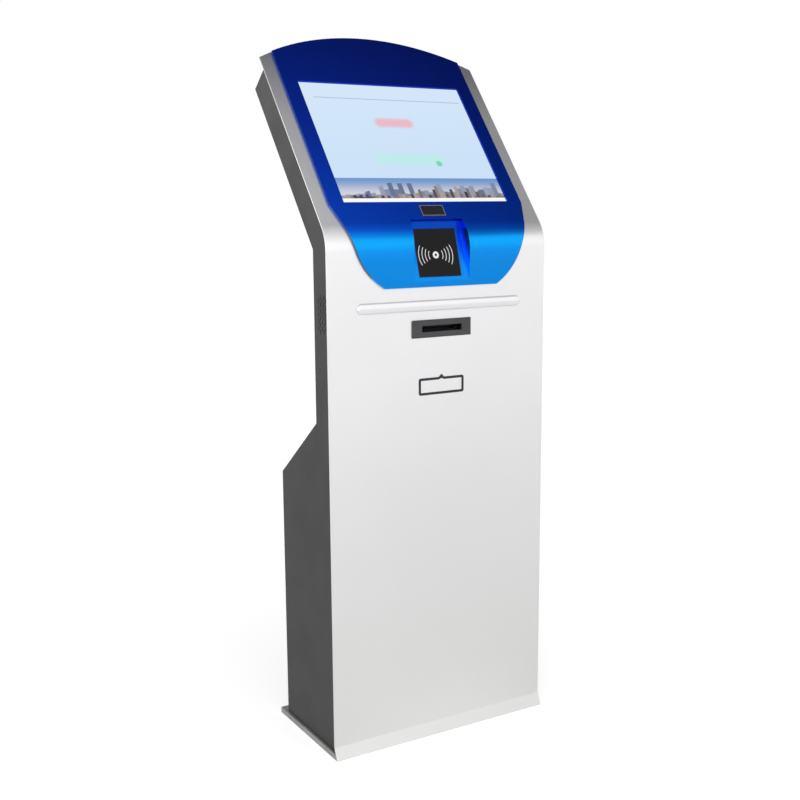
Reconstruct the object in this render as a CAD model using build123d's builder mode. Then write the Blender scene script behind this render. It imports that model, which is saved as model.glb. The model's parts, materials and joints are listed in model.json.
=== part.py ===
from build123d import *
import os
from math import sin, cos, tan, atan2, radians, degrees, pi, sqrt

os.makedirs("parts", exist_ok=True)

# Ticket vending kiosk: a folded steel front with a leaning display head, a dark
# sheet-metal body behind it, a ticket printer in the neck and a service door at
# the back.  Millimetres, +Z up, front towards -Y, +X to the right as seen from the
# front.  The origin is on the floor, in the middle of the floor anchors.

# ---- overall sizes -------------------------------------------------------------
panel_width = 500.0        # folded front panel, edge to edge
cabinet_depth = 225.0      # lower cabinet, front face to back face
neck_depth = 64.0          # upright neck above the cabinet
head_depth = 65.0          # leaning head, square to the slope
upright_height = 996.0     # floor to the start of the bend
lean = 38.4                # slope of the head from upright, degrees
bend_radius = 76.0         # outer radius of the front bend
slope_length = 416.0       # bend end to the panel's top corners
arch_rise = 67.0           # middle of the arched top over its corners
head_length = 393.0        # bend end to the top of the dark head
shoulder_low = 540.0       # back of the cabinet starts to slope in
shoulder_high = 666.0      # slope meets the neck

# ---- sheet metal ---------------------------------------------------------------
panel_sheet = 2.0
body_sheet = 1.5
seat = 0.3                 # gap where two curved or fitted pieces meet
body_recess = 5.0          # dark sides stand back from the panel's edges
panel_return = 2.6         # folded edge of the front panel
flange = 12.0              # inward flange of the side panels
plate_height = 12.0        # floor plate
plate_overhang = 27.0      # floor plate behind the cabinet
skirt_height = 25.0
skirt_flare = 11.0
anchor_x = 400.0
anchor_y = 140.0
anchor_r = 6.5
cable_hole_r = 14.0
cable_hole_x = 140.0
cable_hole_back = 50.0      # cable hole's middle, in from the back

half = panel_width / 2
side_x = half - body_recess              # outer face of the dark sides
inner_x = side_x - body_sheet            # inner face of the dark sides
cover_x = inner_x - seat                 # half width of the covers between them
front_y = -cabinet_depth / 2
back_y = cabinet_depth / 2
neck_y = front_y + neck_depth
turn = radians(lean)
bend_y = front_y + bend_radius
bend_z = upright_height
screw_x = cover_x - flange / 2
arch_r = (half ** 2 + arch_rise ** 2) / (2 * arch_rise)


def on_front(off, z):
    """Side-view point on the upright face, off behind its outer skin."""
    return (front_y + off, z)


def on_bend(off, share):
    """Side-view point on the bend, share of the way round it."""
    r = bend_radius - off
    return (bend_y - r * cos(turn * share), bend_z + r * sin(turn * share))


def on_slope(off, s):
    """Side-view point on the leaning face, s above the end of the bend."""
    y, z = on_bend(off, 1)
    return (y + s * sin(turn), z + s * cos(turn))


def face_line(off, z_low, s_high):
    """The front's side-view line at a depth: upright, bend, slope."""
    Line(on_front(off, z_low), on_front(off, bend_z))
    ThreePointArc(on_front(off, bend_z), on_bend(off, 0.5), on_bend(off, 1))
    Line(on_bend(off, 1), on_slope(off, s_high))


def face_strip(front_off, back_off, z_low, s_high):
    """Side-view section of a sheet that follows the front."""
    with BuildSketch() as section:
        with BuildLine():
            face_line(front_off, z_low, s_high)
            Line(on_slope(front_off, s_high), on_slope(back_off, s_high))
            face_line(back_off, z_low, s_high)
            Line(on_front(back_off, z_low), on_front(front_off, z_low))
        make_face()
    return section.sketch


def slope_plane(off=0.0):
    """Plane on the leaning face: x across, y up the slope, z outwards."""
    y, z = on_slope(off, 0)
    return Plane(origin=(0, y, z), x_dir=(1, 0, 0), z_dir=(0, -cos(turn), sin(turn)))


def front_plane(off=0.0):
    """Plane on the upright face: x across, y is height, z outwards."""
    return Plane(origin=(0, front_y + off, 0), x_dir=(1, 0, 0), z_dir=(0, -1, 0))


def back_plane(y):
    """Plane facing backwards: x runs to -X, y is height, z towards +Y."""
    return Plane(origin=(0, y, 0), x_dir=(-1, 0, 0), z_dir=(0, 1, 0))


def cross_plane(x, y, z):
    """Plane square to X, for shafts, wheels and cheeks: x is +Y, y is +Z."""
    return Plane(origin=(x, y, z), x_dir=(0, 1, 0), z_dir=(1, 0, 0))


# ---- display head --------------------------------------------------------------
screen_width = 377.0
screen_height = 303.0
screen_low = 50.0          # bottom of the visible screen above the bend
glass_depth = 3.0          # glass below the fascia's face
glass_thick = 3.0
lcd_border = 10.0
lcd_thick = 12.0
housing_depth = 24.0
fascia_proud = 5.0
fascia_half = 221.0
fascia_shoulder = 46.0     # straight sides end here, above the bend
fascia_foot = 128.0        # half width of the straight bottom edge
fascia_drop = 73.0         # bottom edge below the start of the bend
fascia_waist_x = 188.0     # end of the slanting side
fascia_waist_z = 2.0       # below the start of the bend
arch_margin = 1.0          # fascia's top edge inside the panel's

screen_mid = screen_low + screen_height / 2
lcd_w = screen_width + 2 * lcd_border
lcd_h = screen_height + 2 * lcd_border
panel_cut_w = lcd_w + 4.0
panel_cut_h = lcd_h + 4.0
glass_front = glass_depth - fascia_proud
lcd_front = glass_front + glass_thick
housing_front = lcd_front + lcd_thick
housing_back = housing_front + housing_depth

# ---- reader pocket -------------------------------------------------------------
pocket_lean = 16.0
pocket_half = 63.0
pocket_low = bend_z - 62.0   # height where the pocket's floor runs out
pocket_length = 118.0
pocket_draft = 6.0           # pocket is narrower at the top of its floor
pocket_wall = 3.0
window_w = 96.0
window_h = 95.0
window_x = -3.0
window_up = 56.0             # window's middle above the floor's lower end
window_thick = 2.0
window_sink = 1.2
reader_depth = 20.0
reader_h = 92.0
reader_shift = 6.0           # reader sits above the window's middle, clear of the skin

pocket_turn = radians(pocket_lean)


def on_pocket(off, up):
    """Side-view point on the pocket's floor, off behind it."""
    y = front_y - fascia_proud + up * sin(pocket_turn) + off * cos(pocket_turn)
    return (y, pocket_low + up * cos(pocket_turn) - off * sin(pocket_turn))


def pocket_plane(off=0.0):
    y, z = on_pocket(off, 0)
    return Plane(origin=(0, y, z), x_dir=(1, 0, 0), z_dir=(0, -cos(pocket_turn), sin(pocket_turn)))


# ---- ticket outlet and trim ----------------------------------------------------
slot_z = 842.0
slot_w = 92.0
slot_h = 12.0
bezel_w = 136.0
bezel_h = 35.0
bezel_thick = 3.0
throat_wall = 2.5
throat_depth = 8.0
strip_z = 887.0
strip_length = 376.0
strip_height = 21.0
strip_proud = 5.0
label_z = 728.0
label_w = 105.0
label_h = 34.0
label_line = 5.0
label_thick = 0.4
pointer_h = 6.0
badge_x = -1.5
badge_w = 54.0
badge_h = 26.0
badge_s = 28.0
badge_thick = 1.2

# ---- ticket printer ------------------------------------------------------------
roller_r = 8.0
roller_length = 82.0
roller_shaft_r = 3.0
cheek_in = 44.0
cheek_sheet = 1.5
platen_y = front_y + 36.0
running = 0.05             # radial clearance of a running fit
gear_module = 1.0
gear_wide = 5.0
gear_x = 47.5
platen_teeth = 18
idler_teeth = 24
pinion_teeth = 12
backlash = 0.16
idler_dir = radians(253.4)
pinion_dir = radians(243.6)
motor_r = 15.0
motor_length = 30.0
motor_shaft_r = 2.5
head_thick = 4.0
head_hinge_along = 16.0
head_hinge_out = 3.0
head_pin_r = 1.5
cutter_y = front_y + 12.0
blade_thick = 1.5
blade_half = 41.0

platen_z = slot_z - roller_r
cheek_out = cheek_in + cheek_sheet

# ---- paper roll ----------------------------------------------------------------
roll_r = 40.0
roll_width = 79.0
roll_y = front_y + 60.0
roll_z = 556.0
core_out = 9.0
core_in = 6.35
spindle_r = core_in - running

# ---- rear frame, door, hinges and lock -------------------------------------------
door_half = 214.0
door_low = 78.0
door_high = 500.0
door_gap = 1.0
stop_depth = 14.0
stop_lip = 10.0
door_return = 11.0
seal_thick = 1.2
hinge_r = 3.5
hinge_pin_r = 2.0
hinge_height = 60.0
hinge_leaf = 14.0
leaf_sheet = 1.5
lock_r = 9.0
lock_z = 300.0
cam_length = 30.0
cam_thick = 2.0

# ================================ floor plate and front ==============================

skirt_slope = skirt_flare / skirt_height
skirt_run = panel_sheet * sqrt(1 + skirt_slope ** 2)     # sheet measured along Y
plate_back = back_y + plate_overhang

with BuildPart() as floor_plate:
    with BuildSketch(Plane.YZ):
        with BuildLine():
            toe_low = front_y - skirt_flare + skirt_run + seat
            toe_high = toe_low + skirt_slope * plate_height
            Polyline(
                (toe_low, 0),
                (plate_back, 0),
                (plate_back, plate_height),
                (toe_high, plate_height),
                close=True,
            )
        make_face()
    extrude(amount=half, both=True)
    with BuildSketch(Plane.XY):
        with GridLocations(anchor_x, anchor_y, 2, 2):
            Circle(anchor_r)
        with Locations((cable_hole_x, back_y - cable_hole_back)):
            Circle(cable_hole_r)
    extrude(amount=plate_height, mode=Mode.SUBTRACT)
floor_plate.part.label = "floor_plate"
export_step(floor_plate.part, "parts/floor_plate.step")

with BuildPart() as front_panel:
    with BuildSketch(Plane.YZ):
        add(face_strip(0, panel_sheet, skirt_height, slope_length + arch_rise))
    extrude(amount=half, both=True)
    with BuildSketch(Plane.YZ):
        skirt_inner_z = skirt_height + (panel_sheet - skirt_run) / skirt_slope
        with BuildLine():
            Polyline(
                (front_y - skirt_flare, 0),
                (front_y - skirt_flare + skirt_run, 0),
                (front_y + panel_sheet, skirt_inner_z),
                (front_y + panel_sheet, skirt_height + 1),
                (front_y, skirt_height + 1),
                (front_y, skirt_height),
                close=True,
            )
        make_face()
    extrude(amount=half, both=True)
    with BuildSketch(slope_plane()):
        with Locations((0, slope_length + arch_rise)):
            Rectangle(panel_width + 10, 2 * arch_rise)
        with BuildLine():
            ThreePointArc((-half, slope_length), (0, slope_length + arch_rise), (half, slope_length))
            Line((half, slope_length), (-half, slope_length))
        make_face(mode=Mode.SUBTRACT)
    extrude(amount=3 * panel_sheet, both=True, mode=Mode.SUBTRACT)
    with BuildSketch(Plane.YZ.offset(half - panel_sheet)):
        add(face_strip(0, panel_return, skirt_height, slope_length))
    extrude(amount=panel_sheet)
    mirror(about=Plane.YZ)
    with BuildSketch(slope_plane()):
        with BuildLine():
            ThreePointArc((-half, slope_length), (0, slope_length + arch_rise), (half, slope_length))
            Line((half, slope_length), (half, slope_length - panel_sheet))
            inner_top = slope_length - panel_sheet
            ThreePointArc((half, inner_top), (0, inner_top + arch_rise), (-half, inner_top))
            Line((-half, inner_top), (-half, slope_length))
        make_face()
    extrude(amount=-panel_return)
    with BuildSketch(slope_plane()):
        with Locations((0, screen_mid)):
            Rectangle(panel_cut_w, panel_cut_h)
    extrude(amount=3 * panel_sheet, both=True, mode=Mode.SUBTRACT)
    with BuildSketch(front_plane()):
        with Locations((0, pocket_low + pocket_length / 2)):
            Rectangle(2 * (pocket_half + pocket_wall + 2), pocket_length + 8)
        with Locations((0, slot_z)):
            Rectangle(slot_w + 2 * throat_wall + 1, slot_h + 2 * throat_wall + 1)
    extrude(amount=bend_radius, both=True, mode=Mode.SUBTRACT)
front_panel.part.label = "front_panel"
export_step(front_panel.part, "parts/front_panel.step")

# ================================ dark body ==========================================


def body_outline(inset):
    """Side-view outline of the dark body, drawn inset from its skin."""
    back_off = head_depth - inset
    corner_r = bend_radius - back_off
    corner_s = (neck_y - inset - (bend_y - corner_r * cos(turn))) / sin(turn)
    slope_y = cabinet_depth - neck_depth
    slope_z = shoulder_high - shoulder_low
    run = sqrt(slope_y ** 2 + slope_z ** 2)
    # the inset slope line, cut by the inset upright lines at both ends
    drop = inset * run / slope_y
    tilt_z = slope_z / slope_y
    with BuildSketch() as outline:
        with BuildLine():
            face_line(panel_sheet + seat + inset, plate_height + inset, head_length - inset)
            Polyline(
                on_slope(panel_sheet + seat + inset, head_length - inset),
                on_slope(back_off, head_length - inset),
                on_slope(back_off, corner_s),
                (neck_y - inset, shoulder_high - drop + inset * tilt_z),
                (back_y - inset, shoulder_low - drop + inset * tilt_z),
                (back_y - inset, plate_height + inset),
                on_front(panel_sheet + seat + inset, plate_height + inset),
            )
        make_face()
    return outline.sketch


cover_seat = body_sheet + seat           # covers lie this deep, on the side flanges
cover_z = [700.0, 940.0]                 # screw heights on the neck cover
head_screw_s = [60.0, 210.0, 360.0]      # screws up the head cover
frame_screw_z = [40.0, 290.0, 520.0]     # screws up the rear frame
screw_r = 2.0
screw_hole_r = 2.2
screw_head_r = 3.8
screw_head_h = 2.2
screw_length = 6.0

vent_y = front_y + 30.0
vent_z = 878.0
vent_slot_h = 9.0
vent_slot_w = 2.6
vent_pitch_y = 7.0
vent_pitch_z = 13.0


def side_panel(sign):
    """One dark side: a skin with an inward flange all round."""
    plane = Plane.YZ.offset(sign * side_x)
    with BuildPart() as panel:
        with BuildSketch(plane):
            add(body_outline(0))
        extrude(amount=-sign * body_sheet)
        with BuildSketch(plane):
            add(body_outline(cover_seat))
        extrude(amount=-sign * (body_sheet + flange))
        with BuildSketch(plane.offset(-sign * body_sheet)):
            add(body_outline(cover_seat + body_sheet))
        extrude(amount=-sign * flange, mode=Mode.SUBTRACT)
        with BuildSketch(plane):
            with Locations((vent_y, vent_z)):
                with GridLocations(2 * vent_pitch_y, vent_pitch_z, 3, 5):
                    SlotOverall(vent_slot_h, vent_slot_w, rotation=90)
                with GridLocations(2 * vent_pitch_y, vent_pitch_z, 2, 6):
                    SlotOverall(vent_slot_h, vent_slot_w, rotation=90)
        extrude(amount=-sign * body_sheet, mode=Mode.SUBTRACT)
        with BuildSketch(slope_plane(head_depth)):
            with Locations(*[(sign * screw_x, s) for s in head_screw_s]):
                Circle(screw_hole_r)
        extrude(amount=2 * cover_seat, mode=Mode.SUBTRACT)
        with BuildSketch(back_plane(neck_y)):
            with Locations(*[(-sign * screw_x, z) for z in cover_z]):
                Circle(screw_hole_r)
        extrude(amount=-2 * cover_seat, mode=Mode.SUBTRACT)
        with BuildSketch(back_plane(back_y)):
            with Locations(*[(-sign * screw_x, z) for z in frame_screw_z]):
                Circle(screw_hole_r)
        extrude(amount=-2 * cover_seat, mode=Mode.SUBTRACT)
    return panel.part


with BuildPart() as side_panel_left:
    add(side_panel(-1))
side_panel_left.part.label = "side_panel_left"
export_step(side_panel_left.part, "parts/side_panel_left.step")

with BuildPart() as side_panel_right:
    add(side_panel(1))
side_panel_right.part.label = "side_panel_right"
export_step(side_panel_right.part, "parts/side_panel_right.step")

head_inner = panel_sheet + seat
cap_drop = body_sheet

with BuildPart() as top_cap:
    with BuildSketch(slope_plane(head_inner)):
        with Locations((0, head_length - cap_drop / 2)):
            Rectangle(2 * cover_x, cap_drop)
    extrude(amount=-(head_depth - head_inner))
    with BuildSketch(slope_plane(head_inner)):
        with Locations((0, head_length - flange / 2)):
            Rectangle(2 * (inner_x - flange - seat), flange)
    extrude(amount=-body_sheet)
top_cap.part.label = "top_cap"
export_step(top_cap.part, "parts/top_cap.step")

corner_r = bend_radius - head_depth
corner_s = (neck_y - (bend_y - corner_r * cos(turn))) / sin(turn)
corner_in_r = corner_r + body_sheet
corner_in_s = (neck_y - body_sheet - (bend_y - corner_in_r * cos(turn))) / sin(turn)
fan_size = 80.0
fan_screw_gap = fan_size - 9.0   # between the fan's screws
fan_depth = 20.0
fan_s = 285.0
cover_seam = 8.0           # head cover ends this far above the corner
grille_pitch = 9.0
grille_slot = 4.0

with BuildPart() as head_cover:
    with BuildSketch(slope_plane(head_depth)):
        low_s = corner_s + cover_seam
        high_s = head_length - cap_drop - seat
        with Locations((0, (low_s + high_s) / 2)):
            Rectangle(2 * cover_x, high_s - low_s)
        with Locations((0, fan_s)):
            with GridLocations(1, grille_pitch, 1, 8):
                SlotOverall(fan_size - 12, grille_slot, mode=Mode.SUBTRACT)
        with Locations(*[(x, s) for x in (-screw_x, screw_x) for s in head_screw_s]):
            Circle(screw_hole_r, mode=Mode.SUBTRACT)
        with Locations((0, fan_s)):
            with GridLocations(fan_screw_gap, fan_screw_gap, 2, 2):
                Circle(screw_hole_r, mode=Mode.SUBTRACT)
    extrude(amount=body_sheet)
head_cover.part.label = "head_cover"
export_step(head_cover.part, "parts/head_cover.step")

shoulder_run = cabinet_depth - neck_depth
shoulder_drop = shoulder_high - shoulder_low
shoulder_len = sqrt(shoulder_run ** 2 + shoulder_drop ** 2)
sheet_rise = body_sheet * (shoulder_len - shoulder_drop) / shoulder_run
frame_high = 530.0         # top of the rear frame

with BuildPart() as neck_cover:
    with BuildSketch(Plane.YZ):
        with BuildLine():
            Polyline(
                on_slope(head_depth, corner_s + cover_seam - 1),
                on_slope(head_depth, corner_s),
                (neck_y, shoulder_high),
                (back_y, shoulder_low),
                (back_y, frame_high + 1),
                (back_y - body_sheet, frame_high + 1),
                (back_y - body_sheet, shoulder_low - sheet_rise),
                (neck_y - body_sheet, shoulder_high - sheet_rise),
                on_slope(head_depth - body_sheet, corner_in_s),
                on_slope(head_depth - body_sheet, corner_s + cover_seam - 1),
                close=True,
            )
        make_face()
    extrude(amount=cover_x, both=True)
    with BuildSketch(back_plane(neck_y)):
        with Locations(*[(x, z) for x in (-screw_x, screw_x) for z in cover_z]):
            Circle(screw_hole_r)
    extrude(amount=-2 * body_sheet, mode=Mode.SUBTRACT)
neck_cover.part.label = "neck_cover"
export_step(neck_cover.part, "parts/neck_cover.step")

inlet_x = 150.0
inlet_z = 46.0
inlet_w = 27.5
inlet_h = 20.5
switch_x = 100.0
switch_w = 19.0
switch_h = 13.0
opening_half = door_half + door_gap
opening_mid = (door_low + door_high) / 2
opening_h = door_high - door_low + 2 * door_gap

with BuildPart() as rear_frame:
    with BuildSketch(back_plane(back_y)):
        with Locations((0, (plate_height + frame_high) / 2)):
            Rectangle(2 * cover_x, frame_high - plate_height)
    extrude(amount=-body_sheet)
    with BuildSketch(back_plane(back_y)):
        with Locations((0, opening_mid)):
            Rectangle(2 * (opening_half + body_sheet), opening_h + 2 * body_sheet)
    extrude(amount=-stop_depth)
    with BuildSketch(back_plane(back_y)):
        with Locations((0, opening_mid)):
            Rectangle(2 * opening_half, opening_h)
    extrude(amount=-(stop_depth - body_sheet), mode=Mode.SUBTRACT)
    with BuildSketch(back_plane(back_y)):
        with Locations((0, opening_mid)):
            Rectangle(2 * (opening_half - stop_lip), opening_h - 2 * stop_lip)
        with Locations((-inlet_x, inlet_z)):
            Rectangle(inlet_w, inlet_h)
        with Locations((-switch_x, inlet_z)):
            Rectangle(switch_w, switch_h)
        with Locations(*[(x, z) for x in (-screw_x, screw_x) for z in frame_screw_z]):
            Circle(screw_hole_r)
    extrude(amount=-stop_depth, mode=Mode.SUBTRACT)
rear_frame.part.label = "rear_frame"
export_step(rear_frame.part, "parts/rear_frame.step")

with BuildPart() as door_seal:
    with BuildSketch(back_plane(back_y - stop_depth + body_sheet)):
        with Locations((0, opening_mid)):
            Rectangle(2 * opening_half - 1, opening_h - 1)
            Rectangle(2 * (opening_half - stop_lip) + 2, opening_h - 2 * stop_lip + 2, mode=Mode.SUBTRACT)
    extrude(amount=seal_thick)
door_seal.part.label = "door_seal"
export_step(door_seal.part, "parts/door_seal.step")

# ================================ service door =======================================

lock_x = door_half - 22.0
louvre_pitch = 12.0

with BuildPart() as service_door:
    with BuildSketch(back_plane(back_y)):
        with Locations((0, opening_mid)):
            Rectangle(2 * door_half, door_high - door_low)
    extrude(amount=-door_return)
    with BuildSketch(back_plane(back_y - body_sheet)):
        with Locations((0, opening_mid)):
            Rectangle(2 * (door_half - body_sheet), door_high - door_low - 2 * body_sheet)
    extrude(amount=-door_return, mode=Mode.SUBTRACT)
    with BuildSketch(back_plane(back_y)):
        with Locations((0, door_high - 70), (0, door_low + 70)):
            with GridLocations(90, louvre_pitch, 3, 6):
                SlotOverall(70, 4)
        with Locations((-lock_x, lock_z)):
            Circle(lock_r + seat / 3)
    extrude(amount=-body_sheet, mode=Mode.SUBTRACT)
service_door.part.label = "service_door"
export_step(service_door.part, "parts/service_door.step")

hinge_x = -(door_half + door_gap / 2)
hinge_y = back_y + hinge_r + 0.6
hinge_z = [door_low + 60, door_high - 60]
knuckle = hinge_height / 3
knuckle_gap = 0.3


def hinge_half(leaf_x, knuckles):
    """One leaf of each butt hinge, with its knuckles on the pin's axis."""
    with BuildPart() as leaves:
        for z in hinge_z:
            with BuildSketch(Plane.XY.offset(z - hinge_height / 2)):
                with Locations((leaf_x, back_y + leaf_sheet / 2)):
                    Rectangle(hinge_leaf, leaf_sheet)
            extrude(amount=hinge_height)
            for low in knuckles:
                with BuildSketch(Plane.XY.offset(z + low)):
                    with Locations((hinge_x, hinge_y)):
                        Circle(hinge_r)
                    with Locations(((hinge_x + leaf_x) / 2, back_y + leaf_sheet / 2)):
                        Rectangle(abs(hinge_x - leaf_x), leaf_sheet)
                extrude(amount=knuckle - knuckle_gap)
            with BuildSketch(Plane.XY.offset(z - hinge_height / 2)):
                with Locations((hinge_x, hinge_y)):
                    Circle(hinge_pin_r + running)
            extrude(amount=hinge_height, mode=Mode.SUBTRACT)
    return leaves.part


leaf_shift = hinge_leaf / 2 + hinge_r + 0.4

with BuildPart() as hinge_frame_leaves:
    add(hinge_half(hinge_x - leaf_shift, [-1.5 * knuckle, 0.5 * knuckle + knuckle_gap]))
hinge_frame_leaves.part.label = "hinge_frame_leaves"
export_step(hinge_frame_leaves.part, "parts/hinge_frame_leaves.step")

with BuildPart() as hinge_door_leaves:
    add(hinge_half(hinge_x + leaf_shift, [-0.5 * knuckle + knuckle_gap / 2]))
hinge_door_leaves.part.label = "hinge_door_leaves"
export_step(hinge_door_leaves.part, "parts/hinge_door_leaves.step")

with BuildPart() as hinge_pins:
    for z in hinge_z:
        with BuildSketch(Plane.XY.offset(z - hinge_height / 2)):
            with Locations((hinge_x, hinge_y)):
                Circle(hinge_pin_r)
        extrude(amount=hinge_height)
        with BuildSketch(Plane.XY.offset(z + hinge_height / 2)):
            with Locations((hinge_x, hinge_y)):
                Circle(hinge_r)
        extrude(amount=1.5)
hinge_pins.part.label = "hinge_pins"
export_step(hinge_pins.part, "parts/hinge_pins.step")

barrel_front = back_y + 2.0
cam_y = back_y - stop_depth - 1.0        # cam's outer face, just behind the stop lip
plug_r = 6.0

with BuildPart() as lock_barrel:
    with BuildSketch(back_plane(cam_y + seat)):
        with Locations((-lock_x, lock_z)):
            Circle(lock_r)
    extrude(amount=back_y - cam_y - seat)
    with BuildSketch(back_plane(back_y)):
        with Locations((-lock_x, lock_z)):
            Circle(lock_r + 2)
    extrude(amount=2)
    with BuildSketch(back_plane(back_y - body_sheet - 4)):
        with Locations((-lock_x, lock_z)):
            RegularPolygon(lock_r + 4, 6)
    extrude(amount=4)
    with BuildSketch(back_plane(cam_y)):
        with Locations((-lock_x, lock_z)):
            Circle(plug_r + running)
    extrude(amount=back_y - cam_y + 3, mode=Mode.SUBTRACT)
lock_barrel.part.label = "lock_barrel"
export_step(lock_barrel.part, "parts/lock_barrel.step")

with BuildPart() as lock_cam:
    with BuildSketch(back_plane(cam_y)):
        with Locations((-lock_x, lock_z)):
            Circle(plug_r)
    extrude(amount=barrel_front - cam_y)
    with BuildSketch(back_plane(barrel_front)):
        with Locations((-lock_x, lock_z)):
            Rectangle(1.6, 7)
    extrude(amount=-1.5, mode=Mode.SUBTRACT)
    with BuildSketch(back_plane(cam_y)):
        with Locations((-lock_x, lock_z)):
            Circle(8)
        with Locations((-lock_x, lock_z - cam_length / 2)):
            Rectangle(14, cam_length)
    extrude(amount=-cam_thick)
lock_cam.part.label = "lock_cam"
export_step(lock_cam.part, "parts/lock_cam.step")

# ================================ fascia and display =================================

waist_z = bend_z - fascia_waist_z
foot_z = bend_z - fascia_drop
shoulder_z = on_slope(-fascia_proud, fascia_shoulder)[1]
slant_in = (fascia_half - fascia_waist_x) / (shoulder_z - waist_z)

with BuildPart() as fascia_shape:
    with BuildSketch(slope_plane()):
        with BuildLine():
            top_s = slope_length + arch_rise - arch_margin
            edge_s = top_s - arch_r + sqrt(arch_r ** 2 - fascia_half ** 2)
            ThreePointArc((-fascia_half, edge_s), (0, top_s), (fascia_half, edge_s))
            Polyline(
                (fascia_half, edge_s),
                (fascia_half, fascia_shoulder),
                (-fascia_half, fascia_shoulder),
                (-fascia_half, edge_s),
            )
        make_face()
    extrude(amount=bend_radius, both=True)
    with BuildSketch(front_plane()):
        with BuildLine():
            TangentArc((fascia_waist_x, waist_z), (fascia_foot, foot_z), tangent=(-slant_in, -1))
            TangentArc((-fascia_waist_x, waist_z), (-fascia_foot, foot_z), tangent=(slant_in, -1))
            Line((-fascia_foot, foot_z), (fascia_foot, foot_z))
            Polyline(
                (-fascia_waist_x, waist_z),
                (-fascia_half, shoulder_z),
                (-fascia_half, shoulder_z + 8),
                (fascia_half, shoulder_z + 8),
                (fascia_half, shoulder_z),
                (fascia_waist_x, waist_z),
            )
        make_face()
    extrude(amount=3 * bend_radius, both=True)

with BuildPart() as fascia:
    with BuildSketch(Plane.YZ):
        add(face_strip(-fascia_proud, -seat, foot_z - 5, slope_length + arch_rise))
    extrude(amount=fascia_half, both=True)
    add(fascia_shape.part, mode=Mode.INTERSECT)
    with BuildSketch(Plane.YZ):
        with BuildLine():
            face_line(-fascia_proud / 2, foot_z + 5, 6)
            Polyline(
                on_slope(-fascia_proud / 2, 6),
                on_pocket(pocket_wall, pocket_length + pocket_wall),
                on_pocket(pocket_wall, pocket_wall),
                on_front(-fascia_proud / 2, foot_z + 5),
            )
        make_face()
    extrude(amount=pocket_half + pocket_wall, both=True)
    with BuildSketch(pocket_plane()):
        with BuildLine():
            Polyline(
                (-pocket_half, 0),
                (pocket_half, 0),
                (pocket_half - pocket_draft, pocket_length),
                (-pocket_half + pocket_draft, pocket_length),
                close=True,
            )
        make_face()
    extrude(amount=bend_radius, taper=-12, mode=Mode.SUBTRACT)
    with BuildSketch(pocket_plane()):
        with Locations((window_x, window_up)):
            Rectangle(window_w + 0.6, window_h + 0.6)
    extrude(amount=-window_sink, mode=Mode.SUBTRACT)
    with BuildSketch(slope_plane()):
        with Locations((0, screen_mid)):
            Rectangle(screen_width, screen_height)
    extrude(amount=3 * fascia_proud, both=True, mode=Mode.SUBTRACT)
fascia.part.label = "fascia"
export_step(fascia.part, "parts/fascia.step")

with BuildPart() as touch_glass:
    with BuildSketch(slope_plane(glass_front)):
        with Locations((0, screen_mid)):
            Rectangle(screen_width - 2 * seat, screen_height - 2 * seat)
    extrude(amount=-glass_thick)
touch_glass.part.label = "touch_glass"
export_step(touch_glass.part, "parts/touch_glass.step")

with BuildPart() as lcd_panel:
    with BuildSketch(slope_plane(lcd_front)):
        with Locations((0, screen_mid)):
            Rectangle(lcd_w, lcd_h)
    extrude(amount=-lcd_thick)
lcd_panel.part.label = "lcd_panel"
export_step(lcd_panel.part, "parts/lcd_panel.step")

with BuildPart() as display_housing:
    with BuildSketch(slope_plane(housing_front)):
        with Locations((0, screen_mid)):
            Rectangle(lcd_w, lcd_h)
    extrude(amount=-housing_depth)
    with BuildSketch(slope_plane(housing_front)):
        with Locations((0, screen_mid)):
            Rectangle(lcd_w - 2 * body_sheet, lcd_h - 2 * body_sheet)
    extrude(amount=-(housing_depth - body_sheet), mode=Mode.SUBTRACT)
    with BuildSketch(slope_plane(housing_back - body_sheet)):
        with Locations((0, screen_mid + 60)):
            with GridLocations(70, 10, 4, 6):
                SlotOverall(50, 4)
    extrude(amount=-body_sheet, mode=Mode.SUBTRACT)
display_housing.part.label = "display_housing"
export_step(display_housing.part, "parts/display_housing.step")

bracket_reach = 24.0
bracket_depth = 26.0
bracket_height = 50.0
bracket_spread = 110.0     # each way from the screen's middle

with BuildPart() as display_brackets:
    for sign in (-1, 1):
        bracket_x = sign * (lcd_w / 2 + 0.2)
        for s in (screen_mid - bracket_spread, screen_mid + bracket_spread):
            with BuildSketch(slope_plane(head_inner)):
                with Locations((bracket_x + sign * bracket_reach / 2, s)):
                    Rectangle(bracket_reach, bracket_height)
            extrude(amount=-body_sheet)
            with BuildSketch(slope_plane(head_inner)):
                with Locations((bracket_x + sign * body_sheet / 2, s)):
                    Rectangle(body_sheet, bracket_height)
            extrude(amount=-bracket_depth)
display_brackets.part.label = "display_brackets"
export_step(display_brackets.part, "parts/display_brackets.step")

with BuildPart() as reader_window:
    with BuildSketch(pocket_plane(window_sink)):
        with Locations((window_x, window_up)):
            RectangleRounded(window_w, window_h, 1.5)
    extrude(amount=window_thick)
reader_window.part.label = "reader_window"
export_step(reader_window.part, "parts/reader_window.step")

with BuildPart() as card_reader:
    with BuildSketch(pocket_plane(pocket_wall)):
        with Locations((window_x, window_up + reader_shift)):
            RectangleRounded(window_w + 14, reader_h, 4)
    extrude(amount=-reader_depth)
    with BuildSketch(pocket_plane(pocket_wall + reader_depth)):
        with Locations((window_x, window_up - 30)):
            Rectangle(24, 12)
    extrude(amount=-5)
card_reader.part.label = "card_reader"
export_step(card_reader.part, "parts/card_reader.step")

with BuildPart() as badge_plate:
    with BuildSketch(slope_plane(-fascia_proud)):
        with Locations((badge_x, badge_s)):
            RectangleRounded(badge_w, badge_h, 1.5)
    extrude(amount=badge_thick)
badge_plate.part.label = "badge_plate"
export_step(badge_plate.part, "parts/badge_plate.step")

# ================================ trim on the upright face ===========================

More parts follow.
